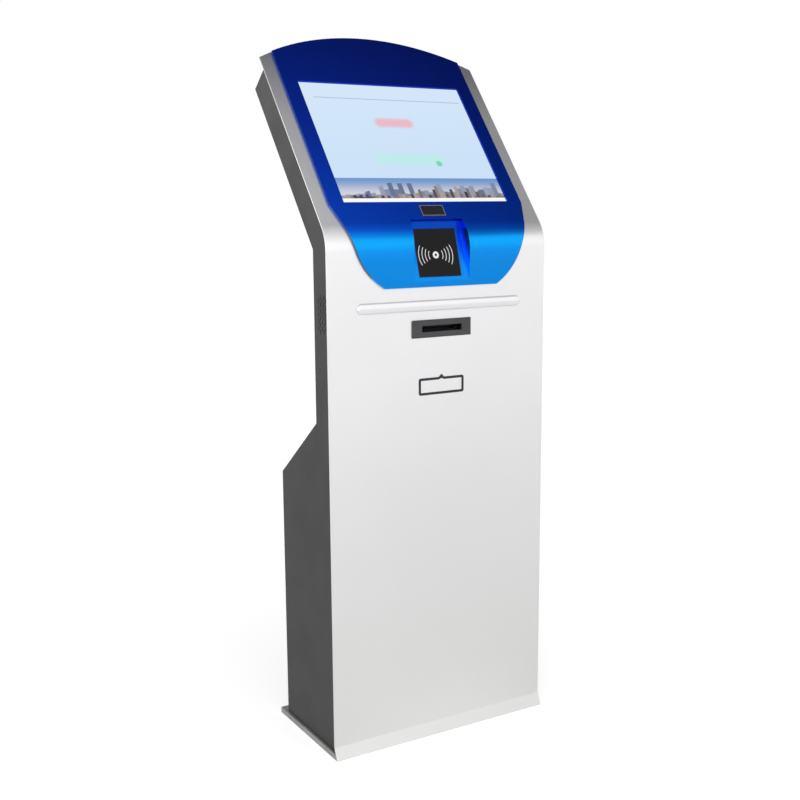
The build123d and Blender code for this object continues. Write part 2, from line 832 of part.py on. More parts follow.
with BuildPart() as trim_bar:
    with BuildSketch(front_plane()):
        with Locations((0, strip_z)):
            SlotOverall(strip_length, strip_height)
    extrude(amount=strip_proud)
    fillet(trim_bar.edges().group_by(Axis.Y)[0], strip_proud - 0.5)
trim_bar.part.label = "trim_bar"
export_step(trim_bar.part, "parts/trim_bar.step")

with BuildPart() as ticket_bezel:
    with BuildSketch(front_plane()):
        with Locations((0, slot_z)):
            RectangleRounded(bezel_w, bezel_h, 1.5)
    extrude(amount=bezel_thick)
    chamfer(ticket_bezel.edges().group_by(Axis.Y)[0], 1.0)
    with BuildSketch(front_plane()):
        with Locations((0, slot_z)):
            Rectangle(slot_w + 2 * throat_wall, slot_h + 2 * throat_wall)
    extrude(amount=-throat_depth)
    with BuildSketch(front_plane(-bezel_thick)):
        with Locations((0, slot_z)):
            Rectangle(slot_w, slot_h)
    extrude(amount=-(bezel_thick + throat_depth), mode=Mode.SUBTRACT)
ticket_bezel.part.label = "ticket_bezel"
export_step(ticket_bezel.part, "parts/ticket_bezel.step")

with BuildPart() as ticket_label:
    with BuildSketch(front_plane()):
        with Locations((0, label_z)):
            RectangleRounded(label_w, label_h, 4)
        with BuildLine():
            Polyline(
                (-pointer_h, label_z + label_h / 2 - 0.1),
                (0, label_z + label_h / 2 + pointer_h),
                (pointer_h, label_z + label_h / 2 - 0.1),
                close=True,
            )
        make_face()
        with Locations((0, label_z)):
            RectangleRounded(label_w - 2 * label_line, label_h - 2 * label_line, 2, mode=Mode.SUBTRACT)
    extrude(amount=label_thick)
ticket_label.part.label = "ticket_label"
export_step(ticket_label.part, "parts/ticket_label.step")

# ================================ ticket printer =====================================


def spur_gear(teeth, phase):
    """Involute spur gear outline about the origin; phase turns it so a tooth points that way."""
    pitch_r = gear_module * teeth / 2
    base_r = pitch_r * cos(radians(20))
    tip_r = pitch_r + 0.9 * gear_module
    root_r = pitch_r - 1.2 * gear_module
    half_tooth = pi / (2 * teeth) - backlash / (4 * pitch_r)
    inv_pitch = tan(radians(20)) - radians(20)
    steps = 4
    points = []
    for k in range(teeth):
        flank = []
        for j in range(steps + 1):
            r = max(base_r, root_r) + (tip_r - max(base_r, root_r)) * j / steps
            a = sqrt(max((r / base_r) ** 2 - 1, 0))
            flank.append((r, half_tooth + inv_pitch - (a - atan2(a, 1))))
        middle = phase + 2 * pi * k / teeth
        points.append((root_r, middle - flank[0][1]))
        points += [(r, middle - a) for r, a in flank]
        points += [(r, middle + a) for r, a in reversed(flank)]
        points.append((root_r, middle + flank[0][1]))
    with BuildSketch() as gear:
        with BuildLine():
            Polyline(*[(r * cos(a), r * sin(a)) for r, a in points], close=True)
        make_face()
    return gear.sketch


def mesh_phase(phase, teeth, line, other_teeth):
    """Phase of the next gear so that it meshes along the line of centres."""
    pitch = 2 * pi / teeth
    off = (line - phase) % pitch
    return line + pi + off * teeth / other_teeth + pi / other_teeth


idler_gap = gear_module * (platen_teeth + idler_teeth) / 2
pinion_gap = gear_module * (idler_teeth + pinion_teeth) / 2
idler_y = platen_y + idler_gap * cos(idler_dir)
idler_z = platen_z + idler_gap * sin(idler_dir)
pinion_y = idler_y + pinion_gap * cos(pinion_dir)
pinion_z = idler_z + pinion_gap * sin(pinion_dir)
idler_phase = mesh_phase(idler_dir, platen_teeth, idler_dir, idler_teeth)
pinion_phase = mesh_phase(idler_phase, idler_teeth, pinion_dir, pinion_teeth)
idler_pin_r = 2.5

head_turn = radians(45)
contact_y = platen_y + (roller_r + seat) * cos(head_turn)
contact_z = platen_z + (roller_r + seat) * sin(head_turn)
head_axis_y = contact_y + head_hinge_along * sin(head_turn) + head_hinge_out * cos(head_turn)
head_axis_z = contact_z - head_hinge_along * cos(head_turn) + head_hinge_out * sin(head_turn)

chassis_low = slot_z - 68.0
chassis_high = slot_z + 18.0
chassis_back = front_y + neck_depth - body_sheet - 1.5

with BuildPart() as printer_chassis:
    with BuildSketch(Plane.YZ.offset(cheek_in)):
        with BuildLine():
            Polyline(
                (front_y + head_inner, chassis_low),
                (front_y + 40, chassis_low),
                (chassis_back, slot_z - 40),
                (chassis_back, chassis_high),
                (front_y + head_inner, chassis_high),
                close=True,
            )
        make_face()
    extrude(amount=cheek_sheet)
    with BuildSketch(front_plane(head_inner)):
        with Locations((cheek_out + 6, chassis_high - 4), (cheek_out + 6, chassis_low + 4)):
            Rectangle(13, 8)
    extrude(amount=-cheek_sheet)
    mirror(about=Plane.YZ)
    with BuildSketch(Plane.XY.offset(chassis_low)):
        with Locations((0, front_y + 21)):
            Rectangle(2 * cheek_in, 30)
    extrude(amount=cheek_sheet)
    with BuildSketch(Plane.XY.offset(chassis_high - cheek_sheet)):
        with Locations((0, front_y + 26)):
            Rectangle(2 * cheek_in, 16)
    extrude(amount=cheek_sheet)
    with BuildSketch(cross_plane(0, platen_y, platen_z)):
        Circle(roller_shaft_r + running)
        with Locations((head_axis_y - platen_y, head_axis_z - platen_z)):
            Circle(head_pin_r + running)
    extrude(amount=2 * cheek_out, both=True, mode=Mode.SUBTRACT)
    with BuildSketch(cross_plane(0, idler_y, idler_z)):
        Circle(idler_pin_r)
        with Locations((pinion_y - idler_y, pinion_z - idler_z)):
            Circle(motor_shaft_r + 1)
    extrude(amount=2 * cheek_out, mode=Mode.SUBTRACT)
    with BuildSketch(front_plane()):
        with Locations((0, slot_z)):
            Rectangle(slot_w + 2 * throat_wall + 1, slot_h + 2 * throat_wall + 1)
    extrude(amount=-(throat_depth + 0.5), mode=Mode.SUBTRACT)
printer_chassis.part.label = "printer_chassis"
export_step(printer_chassis.part, "parts/printer_chassis.step")

with BuildPart() as platen_shaft:
    with BuildSketch(cross_plane(-cheek_out - 3, platen_y, platen_z)):
        Circle(roller_shaft_r)
    extrude(amount=cheek_out + 3 + gear_x + gear_wide + 1)
platen_shaft.part.label = "platen_shaft"
export_step(platen_shaft.part, "parts/platen_shaft.step")

with BuildPart() as platen_roller:
    with BuildSketch(cross_plane(-roller_length / 2, platen_y, platen_z)):
        Circle(roller_r)
        Circle(roller_shaft_r, mode=Mode.SUBTRACT)
    extrude(amount=roller_length)
platen_roller.part.label = "platen_roller"
export_step(platen_roller.part, "parts/platen_roller.step")

with BuildPart() as platen_gear:
    with BuildSketch(cross_plane(gear_x, platen_y, platen_z)):
        add(spur_gear(platen_teeth, idler_dir))
        Circle(roller_shaft_r, mode=Mode.SUBTRACT)
    extrude(amount=gear_wide)
platen_gear.part.label = "platen_gear"
export_step(platen_gear.part, "parts/platen_gear.step")

with BuildPart() as idler_pin:
    with BuildSketch(cross_plane(cheek_in - 1, idler_y, idler_z)):
        Circle(idler_pin_r)
    extrude(amount=gear_x + gear_wide + 0.5 - cheek_in + 1)
    with BuildSketch(cross_plane(gear_x + gear_wide + 0.5, idler_y, idler_z)):
        Circle(idler_pin_r + 2)
    extrude(amount=1)
idler_pin.part.label = "idler_pin"
export_step(idler_pin.part, "parts/idler_pin.step")

with BuildPart() as idler_gear:
    with BuildSketch(cross_plane(gear_x, idler_y, idler_z)):
        add(spur_gear(idler_teeth, idler_phase))
        Circle(idler_pin_r + running, mode=Mode.SUBTRACT)
    extrude(amount=gear_wide)
idler_gear.part.label = "idler_gear"
export_step(idler_gear.part, "parts/idler_gear.step")

with BuildPart() as feed_motor:
    with BuildSketch(cross_plane(cheek_in - motor_length, pinion_y, pinion_z)):
        Circle(motor_r)
    extrude(amount=motor_length)
    with BuildSketch(cross_plane(cheek_in - 8, pinion_y, pinion_z)):
        Circle(motor_shaft_r + running)
    extrude(amount=8, mode=Mode.SUBTRACT)
feed_motor.part.label = "feed_motor"
export_step(feed_motor.part, "parts/feed_motor.step")

with BuildPart() as motor_pinion:
    with BuildSketch(cross_plane(gear_x, pinion_y, pinion_z)):
        add(spur_gear(pinion_teeth, pinion_phase))
    extrude(amount=gear_wide)
    with BuildSketch(cross_plane(cheek_in - 7, pinion_y, pinion_z)):
        Circle(motor_shaft_r)
    extrude(amount=gear_x + 7 - cheek_in)
motor_pinion.part.label = "motor_pinion"
export_step(motor_pinion.part, "parts/motor_pinion.step")

head_plane = Plane(
    origin=(0, contact_y, contact_z),
    x_dir=(1, 0, 0),
    z_dir=(0, cos(head_turn), sin(head_turn)),
)
lever_x = -(cheek_out + 0.8)
lever_sheet = 2.0
lever_tip_y = front_y + 46.0
lever_tip_z = slot_z + 26.0

with BuildPart() as print_head:
    with BuildSketch(head_plane):
        with Locations((0, 1)):
            Rectangle(roller_length, 15)
    extrude(amount=head_thick)
print_head.part.label = "print_head"
export_step(print_head.part, "parts/print_head.step")

with BuildPart() as head_lever:
    with BuildSketch(head_plane.offset(head_thick)):
        with Locations((0, head_hinge_along / 2 - 4)):
            Rectangle(roller_length, head_hinge_along + 8)
    extrude(amount=body_sheet)
    with BuildSketch(cross_plane(-roller_length / 2, head_axis_y, head_axis_z)):
        Circle(3.2)
    extrude(amount=roller_length)
    with BuildSketch(cross_plane(lever_x - lever_sheet, head_axis_y, head_axis_z)):
        Circle(head_pin_r)
    extrude(amount=cheek_out + 2 - lever_x + lever_sheet)
    with BuildSketch(cross_plane(lever_x - lever_sheet, head_axis_y, head_axis_z)):
        Circle(4)
        with BuildLine():
            Polyline(
                (-4, 0),
                (lever_tip_y - head_axis_y - 4, lever_tip_z - head_axis_z),
                (lever_tip_y - head_axis_y + 4, lever_tip_z - head_axis_z),
                (4, 0),
                close=True,
            )
        make_face()
    extrude(amount=lever_sheet)
    with BuildSketch(cross_plane(lever_x - 12, lever_tip_y, lever_tip_z)):
        Rectangle(8, 5)
    extrude(amount=12)
head_lever.part.label = "head_lever"
export_step(head_lever.part, "parts/head_lever.step")

guide_low = slot_z - 92.0
guide_high = slot_z - 19.0
guide_front = front_y + 40.0
guide_back = front_y + 50.0

with BuildPart() as paper_guide:
    with BuildSketch(Plane.XY.offset(guide_low)):
        with Locations((0, (guide_front + guide_back) / 2)):
            Rectangle(2 * (cheek_in - seat), guide_back - guide_front + 2)
            Rectangle(2 * (cheek_in - seat) - 2, guide_back - guide_front, mode=Mode.SUBTRACT)
    extrude(amount=guide_high - guide_low)
paper_guide.part.label = "paper_guide"
export_step(paper_guide.part, "parts/paper_guide.step")

blade_low = slot_z - 22.0

with BuildPart() as fixed_blade:
    with BuildSketch(Plane.XY.offset(slot_z + 1.5)):
        with Locations((0, cutter_y + blade_thick * 1.5 + seat)):
            Rectangle(2 * blade_half + 5.4, blade_thick)
    extrude(amount=10)
fixed_blade.part.label = "fixed_blade"
export_step(fixed_blade.part, "parts/fixed_blade.step")

with BuildPart() as moving_blade:
    with BuildSketch(front_plane(cutter_y - front_y)):
        with BuildLine():
            Polyline(
                (-blade_half, blade_low),
                (blade_half, blade_low),
                (blade_half, slot_z - 3),
                (0, slot_z - 5),
                (-blade_half, slot_z - 3),
                close=True,
            )
        make_face()
    extrude(amount=-blade_thick)
moving_blade.part.label = "moving_blade"
export_step(moving_blade.part, "parts/moving_blade.step")

rail_depth = blade_thick + 2 * seat
rail_w = 6.0

with BuildPart() as blade_rails:
    for sign in (-1, 1):
        with BuildSketch(Plane.XY.offset(blade_low - 5)):
            with Locations((sign * (cheek_in - rail_w / 2), cutter_y + blade_thick / 2)):
                Rectangle(rail_w - 0.1, rail_depth + 3)
        extrude(amount=slot_z + 1 - blade_low + 5)
    with BuildSketch(Plane.XY.offset(blade_low - 1)):
        with Locations((0, cutter_y + blade_thick / 2)):
            Rectangle(2 * (blade_half + seat), rail_depth)
    extrude(amount=40, mode=Mode.SUBTRACT)
blade_rails.part.label = "blade_rails"
export_step(blade_rails.part, "parts/blade_rails.step")

with BuildPart() as cutter_drive:
    with BuildSketch(Plane.XY.offset(chassis_low + cheek_sheet)):
        with Locations((-14, front_y + 20)):
            Rectangle(50, 20)
    extrude(amount=32)
cutter_drive.part.label = "cutter_drive"
export_step(cutter_drive.part, "parts/cutter_drive.step")

# ================================ paper roll =========================================

holder_back = roll_y + 14.0
holder_low = roll_z - 24.0
holder_high = roll_z + 16.0

with BuildPart() as roll_holder:
    with BuildSketch(front_plane(head_inner)):
        with Locations((0, (holder_low + holder_high) / 2)):
            Rectangle(2 * cheek_out, holder_high - holder_low)
    extrude(amount=-body_sheet)
    for sign in (-1, 1):
        with BuildSketch(Plane.YZ.offset(sign * cheek_in)):
            with BuildLine():
                Polyline(
                    (front_y + head_inner, holder_low),
                    (holder_back, holder_low),
                    (holder_back, holder_high),
                    (front_y + head_inner, holder_high),
                    close=True,
                )
            make_face()
            with Locations((roll_y, roll_z)):
                Circle(spindle_r + running, mode=Mode.SUBTRACT)
            with Locations((roll_y, roll_z + 20)):
                Rectangle(2 * (spindle_r + running), 40, mode=Mode.SUBTRACT)
        extrude(amount=sign * cheek_sheet)
roll_holder.part.label = "roll_holder"
export_step(roll_holder.part, "parts/roll_holder.step")

with BuildPart() as roll_spindle:
    with BuildSketch(cross_plane(-cheek_out - 4, roll_y, roll_z)):
        Circle(spindle_r)
    extrude(amount=2 * (cheek_out + 4))
    for sign in (-1, 1):
        with BuildSketch(cross_plane(sign * (cheek_out + 0.5), roll_y, roll_z)):
            Circle(spindle_r + 2.5)
        extrude(amount=sign * 2)
roll_spindle.part.label = "roll_spindle"
export_step(roll_spindle.part, "parts/roll_spindle.step")

with BuildPart() as roll_core:
    with BuildSketch(cross_plane(-roll_width / 2 - 1, roll_y, roll_z)):
        Circle(core_out)
        Circle(core_in, mode=Mode.SUBTRACT)
    extrude(amount=roll_width + 2)
roll_core.part.label = "roll_core"
export_step(roll_core.part, "parts/roll_core.step")

with BuildPart() as paper_roll:
    with BuildSketch(cross_plane(-roll_width / 2, roll_y, roll_z)):
        Circle(roll_r)
        Circle(core_out + 0.1, mode=Mode.SUBTRACT)
    extrude(amount=roll_width)
paper_roll.part.label = "paper_roll"
export_step(paper_roll.part, "parts/paper_roll.step")

# ================================ fan and loudspeakers ===============================

fan_back = head_depth - body_sheet       # fan's outer face on the inside of the cover
fan_bore = fan_size / 2 - 2.5
hub_r = 17.0
blade_gap = 1.2

with BuildPart() as fan_frame:
    with BuildSketch(slope_plane(fan_back)):
        with Locations((0, fan_s)):
            RectangleRounded(fan_size, fan_size, 4)
            Circle(fan_bore, mode=Mode.SUBTRACT)
            with GridLocations(fan_screw_gap, fan_screw_gap, 2, 2):
                Circle(screw_hole_r, mode=Mode.SUBTRACT)
    extrude(amount=fan_depth)
    with BuildSketch(slope_plane(fan_back - fan_depth)):
        with Locations((0, fan_s)):
            Circle(hub_r)
            Rectangle(2 * fan_bore + 1, 5)
            Rectangle(5, 2 * fan_bore + 1)
    extrude(amount=-3)
    with BuildSketch(slope_plane(fan_back - fan_depth)):
        with Locations((0, fan_s)):
            Circle(3 + running)
    extrude(amount=-3, mode=Mode.SUBTRACT)
fan_frame.part.label = "fan_frame"
export_step(fan_frame.part, "parts/fan_frame.step")

spider = 3.0               # thickness of the frame's arms
rotor_top = fan_back - fan_depth + spider + seat + 0.4
rotor_height = fan_depth - spider - 2
fan_blades = 7
blade_chord = 18.0
blade_sheet = 1.6
blade_pitch = 38.0
fan_hub_plane = slope_plane(rotor_top)

with BuildPart() as fan_rotor:
    with BuildSketch(fan_hub_plane):
        with Locations((0, fan_s)):
            Circle(hub_r)
    extrude(amount=-rotor_height)
    with BuildSketch(fan_hub_plane):
        with Locations((0, fan_s)):
            Circle(3)
    extrude(amount=3)
    with Locations(slope_plane(rotor_top + rotor_height / 2).location):
        with Locations((0, fan_s)):
            with PolarLocations(hub_r - 1, fan_blades):
                Box(
                    fan_bore - blade_gap - hub_r,
                    blade_chord,
                    blade_sheet,
                    rotation=(blade_pitch, 0, 0),
                    align=(Align.MIN, Align.CENTER, Align.CENTER),
                )
fan_rotor.part.label = "fan_rotor"
export_step(fan_rotor.part, "parts/fan_rotor.step")

speaker_w = 40.0
speaker_h = 70.0
speaker_depth = 22.0

with BuildPart() as speakers:
    for sign in (-1, 1):
        face_x = sign * inner_x
        with BuildSketch(Plane.YZ.offset(face_x)):
            with Locations((vent_y + 4, vent_z)):
                RectangleRounded(speaker_w, speaker_h + 12, 5)
                SlotOverall(speaker_h - 6, speaker_w - 8, rotation=90, mode=Mode.SUBTRACT)
        extrude(amount=-sign * 4)
        with BuildSketch(Plane.YZ.offset(face_x - sign * 4)):
            with Locations((vent_y + 4, vent_z)):
                SlotOverall(speaker_h, speaker_w - 2, rotation=90)
        extrude(amount=-sign * 8)
        with BuildSketch(Plane.YZ.offset(face_x - sign * 12)):
            with Locations((vent_y + 4, vent_z)):
                Circle(14)
        extrude(amount=-sign * (speaker_depth - 12))
speakers.part.label = "speakers"
export_step(speakers.part, "parts/speakers.step")

# ================================ shelf, computer and power ==========================

shelf_z = 320.0
shelf_back = back_y - 30.0
shelf_front = front_y + 6.0
rail_w = 20.0

with BuildPart() as shelf_rails:
    for sign in (-1, 1):
        with BuildSketch(Plane.XZ.offset(-shelf_front)):
            with BuildLine():
                Polyline(
                    (sign * inner_x, shelf_z - 20),
                    (sign * (inner_x - body_sheet), shelf_z - 20),
                    (sign * (inner_x - body_sheet), shelf_z - body_sheet),
                    (sign * (inner_x - rail_w), shelf_z - body_sheet),
                    (sign * (inner_x - rail_w), shelf_z),
                    (sign * inner_x, shelf_z),
                    close=True,
                )
            make_face()
        extrude(amount=-(shelf_back - shelf_front))
shelf_rails.part.label = "shelf_rails"
export_step(shelf_rails.part, "parts/shelf_rails.step")

with BuildPart() as shelf:
    with BuildSketch(Plane.XY.offset(shelf_z)):
        with Locations((0, (shelf_front + shelf_back) / 2)):
            Rectangle(2 * (inner_x - 1), shelf_back - shelf_front)
            with GridLocations(90, 60, 4, 2):
                SlotOverall(60, 8, mode=Mode.SUBTRACT)
    extrude(amount=body_sheet)
    with BuildSketch(Plane.XY.offset(shelf_z - 14)):
        with Locations((0, shelf_back - body_sheet / 2)):
            Rectangle(2 * (inner_x - rail_w - 1), body_sheet)
        with Locations((0, shelf_front + body_sheet / 2)):
            Rectangle(2 * (inner_x - rail_w - 1), body_sheet)
    extrude(amount=14)
shelf.part.label = "shelf"
export_step(shelf.part, "parts/shelf.step")

box_low = shelf_z + body_sheet
computer_x = -90.0
supply_x = 120.0
computer_w = 200.0
computer_d = 130.0
computer_h = 48.0
supply_w = 98.0
supply_d = 120.0
supply_h = 38.0
middle_y = (shelf_front + shelf_back) / 2

with BuildPart() as computer:
    with BuildSketch(Plane.XY.offset(box_low)):
        with Locations((computer_x, middle_y)):
            RectangleRounded(computer_w, computer_d, 3)
    extrude(amount=computer_h)
    with BuildSketch(Plane.XY.offset(box_low + computer_h)):
        with Locations((computer_x, middle_y)):
            with GridLocations(9, 1, 18, 1):
                Rectangle(4, computer_d - 24)
    extrude(amount=6)
computer.part.label = "computer"
export_step(computer.part, "parts/computer.step")

with BuildPart() as power_supply:
    with BuildSketch(Plane.XY.offset(box_low)):
        with Locations((supply_x, middle_y)):
            Rectangle(supply_w, supply_d)
    extrude(amount=supply_h)
    with BuildSketch(Plane.XY.offset(box_low)):
        with Locations((supply_x, middle_y + supply_d / 2 + 5)):
            Rectangle(supply_w - 10, 10)
    extrude(amount=14)
power_supply.part.label = "power_supply"
export_step(power_supply.part, "parts/power_supply.step")

with BuildPart() as power_inlet:
    with BuildSketch(back_plane(back_y)):
        with Locations((-inlet_x, inlet_z)):
            RectangleRounded(inlet_w + 8, inlet_h + 8, 2)
    extrude(amount=2.5)
    with BuildSketch(back_plane(back_y)):
        with Locations((-inlet_x, inlet_z)):
            Rectangle(inlet_w - 0.6, inlet_h - 0.6)
    extrude(amount=-20)
    with BuildSketch(back_plane(back_y + 2.5)):
        with Locations((-inlet_x, inlet_z)):
            Rectangle(inlet_w - 4, inlet_h - 4)
    extrude(amount=-18, mode=Mode.SUBTRACT)
    with BuildSketch(back_plane(back_y - 17)):
        with Locations((-inlet_x, inlet_z + 2), (-inlet_x - 6, inlet_z - 2), (-inlet_x + 6, inlet_z - 2)):
            Rectangle(2, 4)
    extrude(amount=14)
power_inlet.part.label = "power_inlet"
export_step(power_inlet.part, "parts/power_inlet.step")

rocker_axis_y = back_y - 4.0
rocker_gap = 0.3           # rocker to each side of its opening
trunnion_r = 1.5
trunnion_reach = 0.9       # into each side wall of the housing
switch_wall = 1.5
cavity_w = switch_w - 2 * switch_wall
cavity_h = switch_h - 2 * switch_wall

with BuildPart() as switch_housing:
    with BuildSketch(back_plane(back_y)):
        with Locations((-switch_x, inlet_z)):
            RectangleRounded(switch_w + 5, switch_h + 5, 1.5)
    extrude(amount=2)
    with BuildSketch(back_plane(back_y)):
        with Locations((-switch_x, inlet_z)):
            Rectangle(switch_w - 2 * seat, switch_h - 2 * seat)
    extrude(amount=-16)
    with BuildSketch(back_plane(back_y + 2)):
        with Locations((-switch_x, inlet_z)):
            Rectangle(cavity_w, cavity_h)
    extrude(amount=-16, mode=Mode.SUBTRACT)
    with BuildSketch(Plane.XY.offset(inlet_z)):
        with Locations((switch_x, rocker_axis_y)):
            Circle(trunnion_r + running)
    extrude(amount=switch_h, both=True, mode=Mode.SUBTRACT)
switch_housing.part.label = "switch_housing"
export_step(switch_housing.part, "parts/switch_housing.step")

rocker_half = cavity_w / 2 - 1.8
rocker_width = cavity_h - 2 * rocker_gap

with BuildPart() as switch_rocker:
    with BuildSketch(Plane.XY.offset(inlet_z)):
        with BuildLine():
            Polyline(
                (switch_x - rocker_half, rocker_axis_y + 5.3),
                (switch_x, rocker_axis_y + 4.5),
                (switch_x + rocker_half, rocker_axis_y + 6.8),
                (switch_x + rocker_half - 1, rocker_axis_y),
                (switch_x, rocker_axis_y - 4),
                (switch_x - rocker_half + 1, rocker_axis_y),
                close=True,
            )
        make_face()
    extrude(amount=rocker_width / 2, both=True)
    with BuildSketch(Plane.XY.offset(inlet_z)):
        with Locations((switch_x, rocker_axis_y)):
            Circle(trunnion_r)
    extrude(amount=cavity_h / 2 + trunnion_reach, both=True)
switch_rocker.part.label = "switch_rocker"
export_step(switch_rocker.part, "parts/switch_rocker.step")

with BuildPart() as cable_grommet:
    with BuildSketch(Plane.XY):
        with Locations((cable_hole_x, back_y - cable_hole_back)):
            Circle(cable_hole_r - 0.1)
    extrude(amount=plate_height)
    with BuildSketch(Plane.XY.offset(plate_height)):
        with Locations((cable_hole_x, back_y - cable_hole_back)):
            Circle(cable_hole_r + 4)
    extrude(amount=3)
    with BuildSketch(Plane.XY):
        with Locations((cable_hole_x, back_y - cable_hole_back)):
            Circle(cable_hole_r - 4)
    extrude(amount=plate_height + 3, mode=Mode.SUBTRACT)
cable_grommet.part.label = "cable_grommet"
export_step(cable_grommet.part, "parts/cable_grommet.step")

# ================================ screws =============================================


def pan_screws(plane, spots):
    """Pan-head screws with their heads on the plane and shanks going in."""
    with BuildPart() as screws:
        with BuildSketch(plane):
            with Locations(*spots):
                Circle(screw_head_r)
        extrude(amount=screw_head_h)
        with BuildSketch(plane):
            with Locations(*spots):
                Circle(screw_r)
        extrude(amount=-screw_length)
    return screws.part


with BuildPart() as cover_screws:
    head_back = Plane(
        origin=(0, *on_slope(head_depth, 0)),
        x_dir=(-1, 0, 0),
        z_dir=(0, cos(turn), -sin(turn)),
    )
    add(pan_screws(head_back, [(x, s) for x in (-screw_x, screw_x) for s in head_screw_s]))
    add(pan_screws(back_plane(neck_y), [(x, z) for x in (-screw_x, screw_x) for z in cover_z]))
    add(pan_screws(back_plane(back_y), [(x, z) for x in (-screw_x, screw_x) for z in frame_screw_z]))
cover_screws.part.label = "cover_screws"
export_step(cover_screws.part, "parts/cover_screws.step")

with BuildPart() as fan_screws:
    fan_half = fan_screw_gap / 2
    add(pan_screws(head_back, [(x, fan_s + s) for x in (-fan_half, fan_half) for s in (-fan_half, fan_half)]))
fan_screws.part.label = "fan_screws"
export_step(fan_screws.part, "parts/fan_screws.step")
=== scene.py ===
import json
import math

import bmesh
import bpy
from mathutils import Euler, Matrix, Vector


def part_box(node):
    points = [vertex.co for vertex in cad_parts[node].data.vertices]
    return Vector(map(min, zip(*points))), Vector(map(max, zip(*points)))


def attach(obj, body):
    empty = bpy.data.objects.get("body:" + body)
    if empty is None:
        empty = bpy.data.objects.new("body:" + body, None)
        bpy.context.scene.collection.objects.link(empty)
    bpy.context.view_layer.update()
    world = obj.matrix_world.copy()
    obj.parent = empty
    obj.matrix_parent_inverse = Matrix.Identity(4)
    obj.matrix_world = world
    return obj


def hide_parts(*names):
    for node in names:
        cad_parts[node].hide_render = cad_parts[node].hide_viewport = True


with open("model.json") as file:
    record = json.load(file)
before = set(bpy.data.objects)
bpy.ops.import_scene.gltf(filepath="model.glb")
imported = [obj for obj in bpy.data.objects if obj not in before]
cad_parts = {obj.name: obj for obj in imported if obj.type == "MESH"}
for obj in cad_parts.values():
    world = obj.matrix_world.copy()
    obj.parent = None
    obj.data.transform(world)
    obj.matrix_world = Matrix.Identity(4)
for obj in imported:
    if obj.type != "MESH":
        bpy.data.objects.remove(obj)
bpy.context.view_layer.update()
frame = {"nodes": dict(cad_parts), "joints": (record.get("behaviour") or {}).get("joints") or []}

# ---- floor plate ---------------------------------------------------------------
# A slab of 12 mm steel that carries the cabinet and is bolted to the floor through four holes.
# It is powder-coated light grey; shoes and mops leave it duller and greyer than the rest.


def shade(red, green, blue):
    """Shader colour for a finish given as it looks on a screen, 0 to 255 a channel."""
    channels = [value / 255 for value in (red, green, blue)]
    linear = [c / 12.92 if c <= 0.04045 else ((c + 0.055) / 1.055) ** 2.4 for c in channels]
    return (*linear, 1.0)


def part(tree, kind, settings=(), **inputs):
    """Adds a node to a tree; an input given as a socket is linked, anything else is set on it.

    Inputs go by name, with _ for a space, or by number as no0, no1 where names repeat.
    """
    made = tree.nodes.new(kind)
    for key, value in dict(settings).items():
        setattr(made, key, value)
    for key, value in inputs.items():
        socket = made.inputs[int(key[2:])] if key.startswith("no") else made.inputs[key.replace("_", " ")]
        if isinstance(value, bpy.types.NodeSocket):
            tree.links.new(value, socket)
        else:
            socket.default_value = value
    return made


def wire(material, kind, settings=(), **inputs):
    """Adds a node to a material, or to the world."""
    return part(material.node_tree, kind, settings, **inputs)


def sums(material, operation, first, second=0.0):
    """One step of arithmetic between sockets or numbers, as the socket of its result."""
    return wire(material, "ShaderNodeMath", {"operation": operation}, no0=first, no1=second).outputs[0]


def spread(material, value, low, high, to_low, to_high):
    """Maps a 0 to 1 pattern between two limits, smoothly, onto a new range."""
    made = wire(material, "ShaderNodeMapRange", {"interpolation_type": "SMOOTHSTEP"}, Value=value,
                From_Min=low, From_Max=high, To_Min=to_low, To_Max=to_high)
    return made.outputs["Result"]


def tint(material, share, first, second):
    """Mixes two colours by a pattern."""
    made = wire(material, "ShaderNodeMix", {"data_type": "RGBA"}, no0=share, no6=first, no7=second)
    return made.outputs[2]


def cloud(material, size, stretch=(1, 1, 1), detail=3.0):
    """Noise whose blotches are about size metres across, stretched along the axes."""
    place = wire(material, "ShaderNodeTexCoord").outputs["Object"]
    scale = wire(material, "ShaderNodeMapping", Vector=place, Scale=stretch).outputs[0]
    return wire(material, "ShaderNodeTexNoise", Vector=scale, Scale=1 / size, Detail=detail).outputs["Fac"]


def blank(name):
    """A new material, its shader and the call that links two of its sockets."""
    material = bpy.data.materials.new(name)
    material.use_nodes = True
    return material, material.node_tree.nodes["Principled BSDF"], material.node_tree.links.new


def finish(name, tone, roughness, metallic=0.0, mottle=0.05, patch=0.09, rough_play=0.05,
           grain=0.0012, relief=0.12, stretch=(1, 1, 1), **sockets):
    """A surface: slow mottling in its colour, patchy gloss, and a fine grain in relief.

    Grain is the size of the relief in metres and relief its strength.  Other sockets of the
    shader are given by name and set on it directly.
    """
    material, shader, link = blank(name)
    blotch = spread(material, cloud(material, patch, stretch), 0.3, 0.7, 0.0, 1.0)
    darker = [channel * (1 - 2 * mottle) for channel in tone[:3]] + [1.0]
    lighter = [min(channel * (1 + mottle), 1.0) for channel in tone[:3]] + [1.0]
    link(tint(material, blotch, darker, lighter), shader.inputs["Base Color"])
    wear = cloud(material, patch / 3, stretch, 5.0)
    gloss = spread(material, wear, 0.3, 0.75, max(roughness - rough_play, 0.02), roughness + rough_play)
    link(gloss, shader.inputs["Roughness"])
    fine = cloud(material, grain, stretch, 2.0)
    bump = wire(material, "ShaderNodeBump", Height=fine, Strength=relief, Distance=grain / 3)
    link(bump.outputs[0], shader.inputs["Normal"])
    shader.inputs["Metallic"].default_value = metallic
    for key, value in sockets.items():
        shader.inputs[key.replace("_", " ")].default_value = value
    return material


